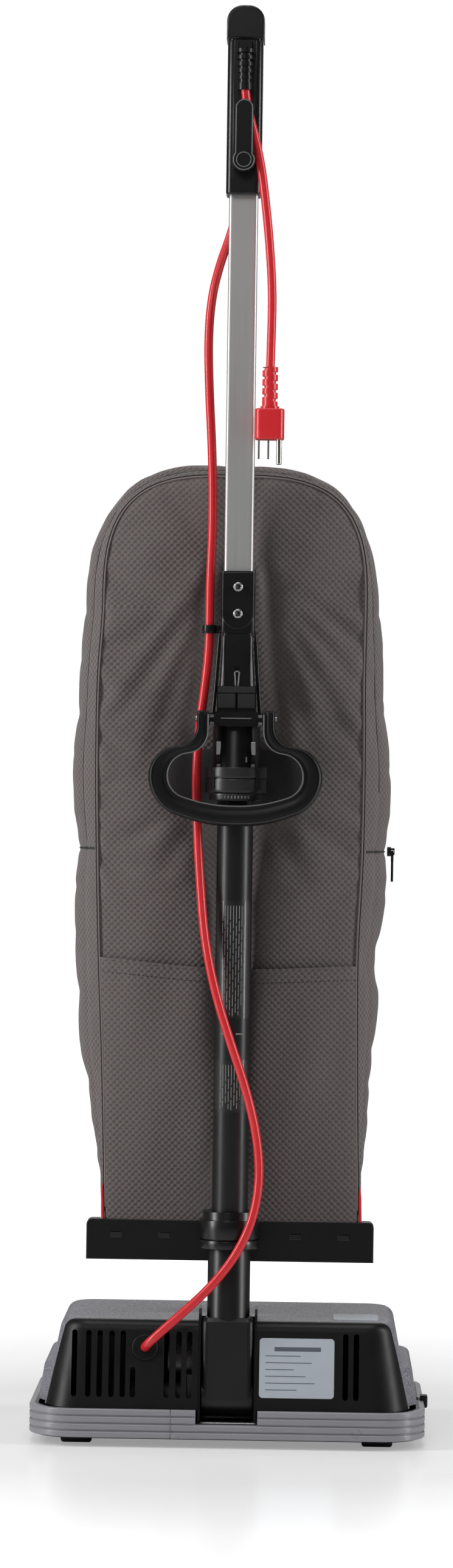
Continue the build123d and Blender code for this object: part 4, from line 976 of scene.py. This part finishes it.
def make_hand_loop():
    """A rounded bar with a raised lip along its inner edge, and thin grey lines along both edges as painted
    highlights.
    """
    outer, inner = np.array(outline(LOOP_OUTER)), np.array(outline(LOOP_INNER))
    # Even out the outlines so that corners between spans are soft.
    for _ in range(2):
        for line in (outer, inner):
            line[1:-1] = 0.25 * line[:-2] + 0.5 * line[1:-1] + 0.25 * line[2:]
    middle_y = (LOOP_LO[1] + LOOP_HI[1]) / 2
    half_depth = (LOOP_HI[1] - LOOP_LO[1]) / 2 - 0.1
    around, power = 48, 3.6
    rings = []
    count = len(outer)
    for i in range(-3, count + 3):
        k = min(max(i, 0), count - 1)
        past = -i if i < 0 else max(0, i - count + 1)
        shrink = (1.0, 0.97, 0.86, 0.62)[past]
        lift = (0.0, 0.0, 0.7, 1.1)[past]
        o, n = outer[k], inner[k]
        center, half = (o + n) / 2, (o - n) / 2
        for a in range(around):
            angle = 2 * math.pi * a / around
            c, s = math.cos(angle), math.sin(angle)
            px, py = signed_power(c, 2 / power), signed_power(s, 2 / power)
            # A lip stands along the inner edge on the rear face, behind a shallow channel.
            lip = 0.0
            if s < 0:
                lip = 0.9 * math.exp(-((px + 0.86) / 0.1) ** 2) - 1.2 * math.exp(-((px + 0.5) / 0.22) ** 2)
                lip *= abs(py) ** 2
            y = middle_y + py * half_depth * shrink - lip * 0.9 * (py < -0.5)
            y = max(y, LOOP_LO[1] - 0.6)
            rings.append((
                center[0] + half[0] * px * shrink, y, center[1] + half[1] * px * shrink + lift,
            ))
    faces = tube_faces(count + 6, around)
    loop = piece("hand_loop_bar", rings, faces, FINISHES["loop_black"], "hand_loop")
    subdivide(loop)
    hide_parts("hand_loop")
    # Thin grey tubes along the inner and outer edges on the rear face: painted highlights.
    for word, line, share in (("inner", inner, 0.93), ("outer", outer, 0.72)):
        middle = (outer + inner) / 2
        edge = middle[2:-2] + (line[2:-2] - middle[2:-2]) * share
        depth = LOOP_LO[1] + (0.35 if word == "inner" else 0.25)
        rim = tube("hand_loop_" + word + "_rim", [(x, depth, z) for x, z in edge], 0.5,
                   LOOP_HIGHLIGHT[word], "hand_loop", 10)


# ---- Leads ----------------------------------------------------------------------------
def nurbs_object(name, route):
    """A route's NURBS spline, with the points as its control points, in metres."""
    curve = bpy.data.curves.new(name, "CURVE")
    curve.dimensions = "3D"
    curve.resolution_u = 8
    spline = curve.splines.new("NURBS")
    spline.points.add(len(route) - 1)
    for place, point in zip(spline.points, route):
        place.co = (point[0] * MM, point[1] * MM, point[2] * MM, 1.0)
    spline.order_u = 3
    spline.use_endpoint_u = True
    return new_object(name, curve)


def spline_points(route):
    """Points along the route's NURBS spline, in millimetres."""
    guide = nurbs_object("guide", route)
    bpy.context.view_layer.update()
    mesh = bpy.data.meshes.new_from_object(guide)
    points = np.array([v.co for v in mesh.vertices]) / MM
    bpy.data.objects.remove(guide)
    bpy.data.meshes.remove(mesh)
    return points


def make_feed_cord():
    """The supply lead from the grip down to the motor cover."""
    points = spline_points(FEED_ROUTE)
    cord = tube("supply_lead", points, CORD_DIAMETER / 2, FINISHES["cord_red"], None, around=20)
    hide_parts("feed_cord")
    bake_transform(cord)


def make_plug_cord():
    """The short lead, which hangs from the grip down to the plug."""
    cord = nurbs_object("plug_lead", PLUG_ROUTE)
    cord.data.bevel_depth = CORD_DIAMETER / 2 * MM
    cord.data.bevel_resolution = 6
    cord.data.use_fill_caps = True
    cord.data.materials.append(FINISHES["cord_red"])
    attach(cord, "wand")
    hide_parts("plug_cord")


# ---- Small fittings -------------------------------------------------------------------
# Light grey for thin lines, ribs and lugs on the black joint parts: painted highlights where their edges
# catch the light.
JOINT_HIGHLIGHT = moulded("joint_edge_highlight", tone(118, 118, 118), 0.32)
JOINT_SATIN = moulded("joint_grey", tone(46, 46, 47), 0.3)
NECK_Z, NECK_REAR = (612.0, 685.0), (-97.0, -93.5)
COLLAR_X, COLLAR_Y, COLUMN_RADIUS = 0.0, -84.0, 20.0
BLOCK_REAR, HINGE_REAR = -100.0, -112.0


def make_spout_patch():
    """A dark oval of the zip's cloth laid over the back panel round the spout."""
    middle_z, half_x, half_z = 561.0, 64.0, 27.0
    rings, around = 9, 72
    points = []
    for ring in range(1, rings + 1):
        share = ring / rings
        for k in range(around):
            angle = 2 * math.pi * k / around
            c, n = math.cos(angle), math.sin(angle)
            x = half_x * share * signed_power(c, 0.8)
            z = middle_z + half_z * share * signed_power(n, 0.8)
            lift = 1.0 if ring < rings else 0.0
            points.append((x, back_y(x, z) - lift, z))
    faces = grid(rings, around, wrap_columns=True)
    patch = piece("spout_patch", points, faces, FINISHES["zip_cloth"], "wand")
    add_weave(patch, [(v.co.x, v.co.z, 0.0) for v in patch.data.vertices])
    subdivide(patch)


def neck_y(z):
    """The neck's rear face at a height."""
    return NECK_REAR[0] + (NECK_REAR[1] - NECK_REAR[0]) * (z - NECK_Z[0]) / (NECK_Z[1] - NECK_Z[0])


def band(name, radius, z_range, angle_range, material, thick=0.8):
    """A curved strip around the elbow's collar; angles are in degrees from the rear, + to the right."""
    rows, columns = 5, 24
    points = []
    for z in np.linspace(*z_range, rows):
        for angle in np.radians(np.linspace(*angle_range, columns)):
            points.append((COLLAR_X + radius * math.sin(angle), COLLAR_Y - radius * math.cos(angle), z))
    made = piece(name, points, grid(rows, columns), material, "wand")
    modifier(made, "SOLIDIFY", thickness=thick * MM, offset=0.0)
    modifier(made, "BEVEL", width=0.25 * MM, segments=2, limit_method="ANGLE")
    return made


def make_neck_details():
    """Flanges, an eyed rib, split blocks and hinge lugs on the neck below the tube socket; the light-grey
    edge lines, eye rib and lugs are painted highlights.
    """
    for side, word in ((-1, "left"), (1, "right")):
        edge = [(side * (13.0 - 1.2 * min(1.0, t * 1.6)), neck_y(612 + 70 * t) - 0.3, 612 + 70 * t)
                for t in np.linspace(0, 1, 16)]
        made = tube("neck_edge_" + word, edge, 0.5, JOINT_HIGHLIGHT, "wand", 10)
        rail = [(side * (20.5 - 5.6 * t ** 0.8), neck_y(640) + 6.0, 613 + 74 * t)
                for t in np.linspace(0, 1, 18)]
        radii = [1.7] * 15 + [1.4, 1.0, 0.4]
        made = tube("neck_rail_" + word, rail, radii, FINISHES["joint_black"], "wand", 12)
    eye = []
    for angle in np.linspace(-math.pi * 1.18, math.pi * 0.18, 20):
        eye.append((2.0 * math.cos(angle), neck_y(650) - 0.6, 650.4 - 2.0 * math.sin(angle)))
    rib = [(-0.7, neck_y(634) - 0.9, 634.0)] + eye + [(0.7, neck_y(634) - 0.9, 634.0)]
    made = tube("neck_eye_rib", smooth_line(np.array(rib), 2), 0.6, JOINT_HIGHLIGHT, "wand", 10)
    solids = [((0, BLOCK_REAR - 0.1, 637.0), (31.0, 0.8, 5.0), 0.0)]
    for side in (-1, 1):
        solids.append(((side * 8.3, BLOCK_REAR - 0.4, 627.2), (14.2, 1.4, 12.0), 0.0))
    made = blocks("neck_blocks", solids, JOINT_SATIN, "wand", 0.6)
    lugs = [((0, HINGE_REAR - 0.1, 612.6), (26.0, 0.6, 0.8), 0.0)]
    for side in (-1, 1):
        lugs.append(((side * 20.3, HINGE_REAR + 0.8, 614.4), (3.6, 0.8, 2.4), 0.0))
        lugs.append(((side * 20.3, HINGE_REAR + 0.8, 608.2), (3.6, 0.8, 2.4), 0.0))
    made = blocks("hinge_lugs", lugs, JOINT_HIGHLIGHT, "wand", 0.25)


def make_hook_rim():
    """A thin light-grey line round the cord hook's face and round its pivot boss: a painted highlight along
    their edges.
    """
    low, high = lo_hi("cord_hook")
    y = low[1] - 0.05
    boss_radius, arm_half, inset = 9.6, 7.75, 0.95
    wide, narrow = boss_radius - inset, arm_half - inset
    boss_z, top = low[2] + boss_radius, high[2] - arm_half
    turn = math.acos(narrow / wide)
    bowl = circle(0.0, y, boss_z, wide, math.pi - turn, 2 * math.pi + turn, 26)
    crown = circle(0.0, y, top, narrow, 0, math.pi, 16)
    edge = smooth_line(np.array(bowl + crown + bowl[:1]), 2)
    made = tube("hook_rim", edge, 0.38, JOINT_HIGHLIGHT, "cord_hook", 8)
    made = tube("hook_boss_rim", circle(0.0, y + 0.1, boss_z, 6.1), 0.36, JOINT_HIGHLIGHT, "cord_hook", 8)


def make_screw_faces():
    """Dark recessed faces with a cross slot on the two socket screws, inside bright steel rims that stand
    as painted highlights.
    """
    low, high = lo_hi("socket_screws")
    rim, cross = low[1] - 0.15, []
    for number, z in enumerate((low[2] + 4.0, high[2] - 4.0)):
        ring = circle(0.0, rim, z, 2.75)
        # The bright steel ring is a painted highlight round the dark screw head.
        made = tube("screw_rim_" + str(number), ring, 0.42, FINISHES["steel"], "wand", 10)
        disc = [(0, rim + 0.2, z), (0, rim - 0.1, z)]
        face = tube("screw_face_" + str(number), disc, 2.5, FINISHES["zip_metal"], "wand", 20)
        cross.append(((0, rim - 0.2, z), (2.9, 0.2, 0.55), 0.0))
        cross.append(((0, rim - 0.2, z), (0.55, 0.2, 2.9), 0.0))
    made = blocks("screw_slots", cross, JOINT_SATIN, "wand", 0.05)


def make_elbow_details():
    """Bright spring clips, a slotted collar and a ribbed flange on the elbow; one small steel block is a
    painted glint, and the flange's light ribs are painted highlights.
    """
    def on_column(x, proud):
        return COLLAR_Y - math.sqrt(COLUMN_RADIUS ** 2 - x * x) - proud

    clips, windows = [], []
    for side in (-1, 1):
        clips.append(((side * 14.6, on_column(14.6, 0.9), 587.6), (3.9, 1.6, 11.0), 0.1))
        clips.append(((side * 14.4, on_column(14.4, 0.9), 572.6), (3.4, 1.6, 3.0), 0.0))
        windows.append(((side * 14.5, on_column(14.5, 0.4), 578.0), (3.2, 1.6, 5.2), 0.0))
    # A small steel block at x 9 that is no part: a painted glint on the elbow.
    clips.append(((9.0, on_column(9.0, 0.1), 578.0), (1.4, 1.0, 4.6), 0.0))
    made = blocks("elbow_clips", clips, FINISHES["steel"], "wand", 0.35)
    made = blocks("elbow_windows", windows, DARK_SEAM, "wand", 0.3)
    band("collar_rim", 26.1, (562.5, 571.6), (-82, 82), JOINT_SATIN)
    band("collar_skirt", 25.7, (550.4, 561.8), (-82, 82), JOINT_SATIN)
    band("collar_flange", 24.4, (543.4, 549.4), (-62, 62), JOINT_SATIN, 1.2)
    for side in (-1, 1):
        band("collar_slot_" + ("left" if side < 0 else "right"), 26.6, (554.0, 568.4),
             (side * 46.0 - 4.4, side * 46.0 + 4.4), DARK_SEAM)
    marks = []
    for number in range(9):
        angle = math.radians(-26 + 6.5 * number)
        x, y = COLLAR_X + 25.2 * math.sin(angle), COLLAR_Y - 25.2 * math.cos(angle)
        marks.append(((x, y, 546.4), (1.5, 0.6, 2.4), 0.0))
    made = blocks("flange_ribs", marks, JOINT_HIGHLIGHT, "wand", 0.2)


def make_tube_rules():
    """Plain upright rules on the two dark tube films, standing for their print; there is no lettering."""
    low, _ = lo_hi("tube_labels")
    radius = COLLAR_Y - low[1] + 0.06
    rules = []
    for number, (bottom, top) in enumerate(((283.0, 323.0), (362.0, 457.0))):
        for column in range(9):
            angle = math.radians(-36 + 9 * column)
            z, end = top - 2.0, bottom + (3 * (column * 5 % 4) if column % 3 else 1.0)
            while z > end:
                length = min(z - end, 9.0 + (column * 7 + int(z)) % 11)
                spot = (radius * math.sin(angle), COLLAR_Y - radius * math.cos(angle), z - length / 2)
                rules.append((spot, (0.55, 0.25, length), 0.0))
                z -= length + 1.6
        # A row of dots stands above the lower film's rules.
        lip = radius - 0.1
        for angle in np.radians(np.linspace(-34, 34, 12)):
            if number == 0 and abs(angle) > 0.2:
                spot = (lip * math.sin(angle), COLLAR_Y - lip * math.cos(angle), 347.0)
                rules.append((spot, (1.7, 0.3, 1.3), 0.0))
    made = blocks("tube_rules", rules, PALE_PRINT, "wand", 0.04)


def make_rail_slots():
    """Four shallow slots with light lower lips on the bag rail's rear face."""
    low, _ = lo_hi("bag_rail")
    dark, lips = [], []
    for x in (-97.0, -56.0, 55.5, 96.5):
        dark.append(((x, low[1] - 0.02, 172.5), (9.0, 0.3, 3.2), 0.0))
        for dx, z, width, height in (
            (0, 170.6, 9.6, 0.5), (0, 174.4, 9.6, 0.4), (-4.7, 172.5, 0.4, 3.6), (4.7, 172.5, 0.4, 3.6),
        ):
            lips.append(((x + dx, low[1] - 0.12, z), (width, 0.4, height), 0.0))
    made = blocks("rail_slots", dark, DARK_SEAM, "wand", 0.05)
    made = blocks("rail_slot_lips", lips, JOINT_SATIN, "wand", 0.1)


def make_label_print():
    """Generic ruling on the rating label: blank bars, with no lettering."""
    (x0, y0, z0), (x1, y1, z1) = lo_hi("rating_label")
    slope = math.atan2(y1 - y0 - 0.4, z1 - z0)

    def on_label(x, z, width, height):
        share = (z - z0) / (z1 - z0)
        y = y0 + (y1 - y0 - 0.35) * share - 0.02
        return ((x, y, z), (width, 0.12, height), -slope)

    bars = []
    for row, (left, right) in enumerate(((0.2, 0.82), (0.08, 0.55), (0.08, 0.7), (0.08, 0.46), (0.08, 0.62),
                                         (0.08, 0.74), (0.08, 0.5))):
        z = z1 - 9.0 - row * 5.6
        width = (right - left) * (x1 - x0)
        bars.append(on_label(x0 + left * (x1 - x0) + width / 2, z, width, 0.7 if row else 3.6))
    made = blocks("label_ruling", bars, PRINT, "base", 0.05)


def make_bumper_joint():
    """The pale butt joint where the bumper strip's ends meet."""
    low, high = lo_hi("bumper")
    middle, tall = (low[2] + high[2]) / 2, high[2] - low[2] - 2
    joint = [((-47.0, low[1] + 2.4, middle), (0.5, 4.2, tall), 0.0)]
    made = blocks("bumper_joint", joint, FINISHES["bumper_grey"], "base", 0.1)


# ---- Stage, light and camera ----------------------------------------------------------
def make_stage():
    """A wide pale floor, white at a distance, that fades into the white surroundings."""
    rings, around = [0.0, 0.4, 0.8, 1.2, 2.0, 4.0, 9.0, 30.0], 64
    points = [
        (r / MM * math.cos(2 * math.pi * k / around), r / MM * math.sin(2 * math.pi * k / around), 0.0)
        for r in rings for k in range(around)
    ]
    finish = Finish("floor_white", 0.3)
    mottle = finish.noise(3.0, 3.0)
    finish.color(finish.blend(mottle, (0.8, 0.8, 0.805, 1), (0.84, 0.84, 0.84, 1)))
    finish.roughness(finish.spread(finish.noise(6.0), 0.2, 0.26))
    flat = finish.node("ShaderNodeVectorMath", operation="LENGTH")
    finish.link(finish.coords, flat.inputs[0])
    far = finish.spread(flat.outputs["Value"], 0.3, 1.0)
    far.node.inputs["From Min"].default_value = 0.3
    far.node.inputs["From Max"].default_value = 1.3
    seen = finish.node("ShaderNodeLightPath").outputs["Is Camera Ray"]
    finish.shader.inputs["Emission Color"].default_value = (1, 1, 1, 1)
    finish.link(finish.math("MULTIPLY", far, seen), finish.shader.inputs["Emission Strength"])
    floor = piece("floor", points, grid(len(rings), around, wrap_columns=True), finish.material, None)


def area_light(name, place, target, size, power):
    data = bpy.data.lights.new(name, "AREA")
    data.shape = "RECTANGLE"
    data.size, data.size_y = size
    data.energy = power
    light = new_object(name, data)
    light.location = place
    light.rotation_euler = (Vector(target) - Vector(place)).to_track_quat("-Z", "Y").to_euler()


def make_lights():
    area_light("key_left", (-2.4, -0.95, 1.3), (0, 0, 0.6), (0.5, 2.2), 52.0)
    area_light("key_right", (2.5, -0.6, 1.2), (0, 0, 0.6), (0.4, 2.2), 38.0)
    area_light("front_fill", (-0.7, -3.4, 2.6), (0, 0, 0.5), (1.2, 1.2), 13.0)
    area_light("far_side", (0.0, 3.0, 1.6), (0, 0, 0.5), (2.4, 1.6), 16.0)
    area_light("top", (0, -0.3, 3.2), (0, 0, 0), (1.8, 1.8), 26.0)
    world = bpy.data.worlds.new("studio")
    world.use_nodes = True
    tree = world.node_tree
    background = tree.nodes["Background"]
    background.inputs["Color"].default_value = (1, 1, 1, 1)
    ray = tree.nodes.new("ShaderNodeLightPath")
    level = tree.nodes.new("ShaderNodeMapRange")
    level.inputs["To Min"].default_value = 0.07
    level.inputs["To Max"].default_value = 1.0
    tree.links.new(ray.outputs["Is Camera Ray"], level.inputs["Value"])
    tree.links.new(level.outputs["Result"], background.inputs["Strength"])
    bpy.context.scene.world = world


def make_camera():
    """Behind the cleaner, at half its height, a degree round to the right."""
    distance, height, turn, roll = 3.8, 0.5574, math.radians(1.0), math.radians(0.8)
    frame_height, sensor = 1.3197, 36.0
    target = Vector((-0.0075, -0.1, height))
    data = bpy.data.cameras.new("camera")
    data.sensor_width = sensor
    data.lens = sensor * distance / frame_height
    camera = new_object("camera", data)
    camera.location = target + Vector((math.sin(turn), -math.cos(turn), 0)) * distance
    facing = Euler((math.pi / 2, 0, turn)).to_matrix()
    camera.rotation_euler = (facing @ Matrix.Rotation(roll, 3, "Z")).to_euler()
    bpy.context.scene.camera = camera


finish_cad()
BAG, BAG_ROWS = make_bag()
make_pocket()
make_zip(BAG_ROWS)
make_red_piping()
make_hand_loop()
make_feed_cord()
make_plug_cord()
make_spout_patch()
make_neck_details()
make_screw_faces()
make_hook_rim()
make_elbow_details()
make_tube_rules()
make_rail_slots()
make_label_print()
make_bumper_joint()
make_stage()
make_lights()
make_camera()
bpy.context.scene.view_settings.view_transform = "Standard"
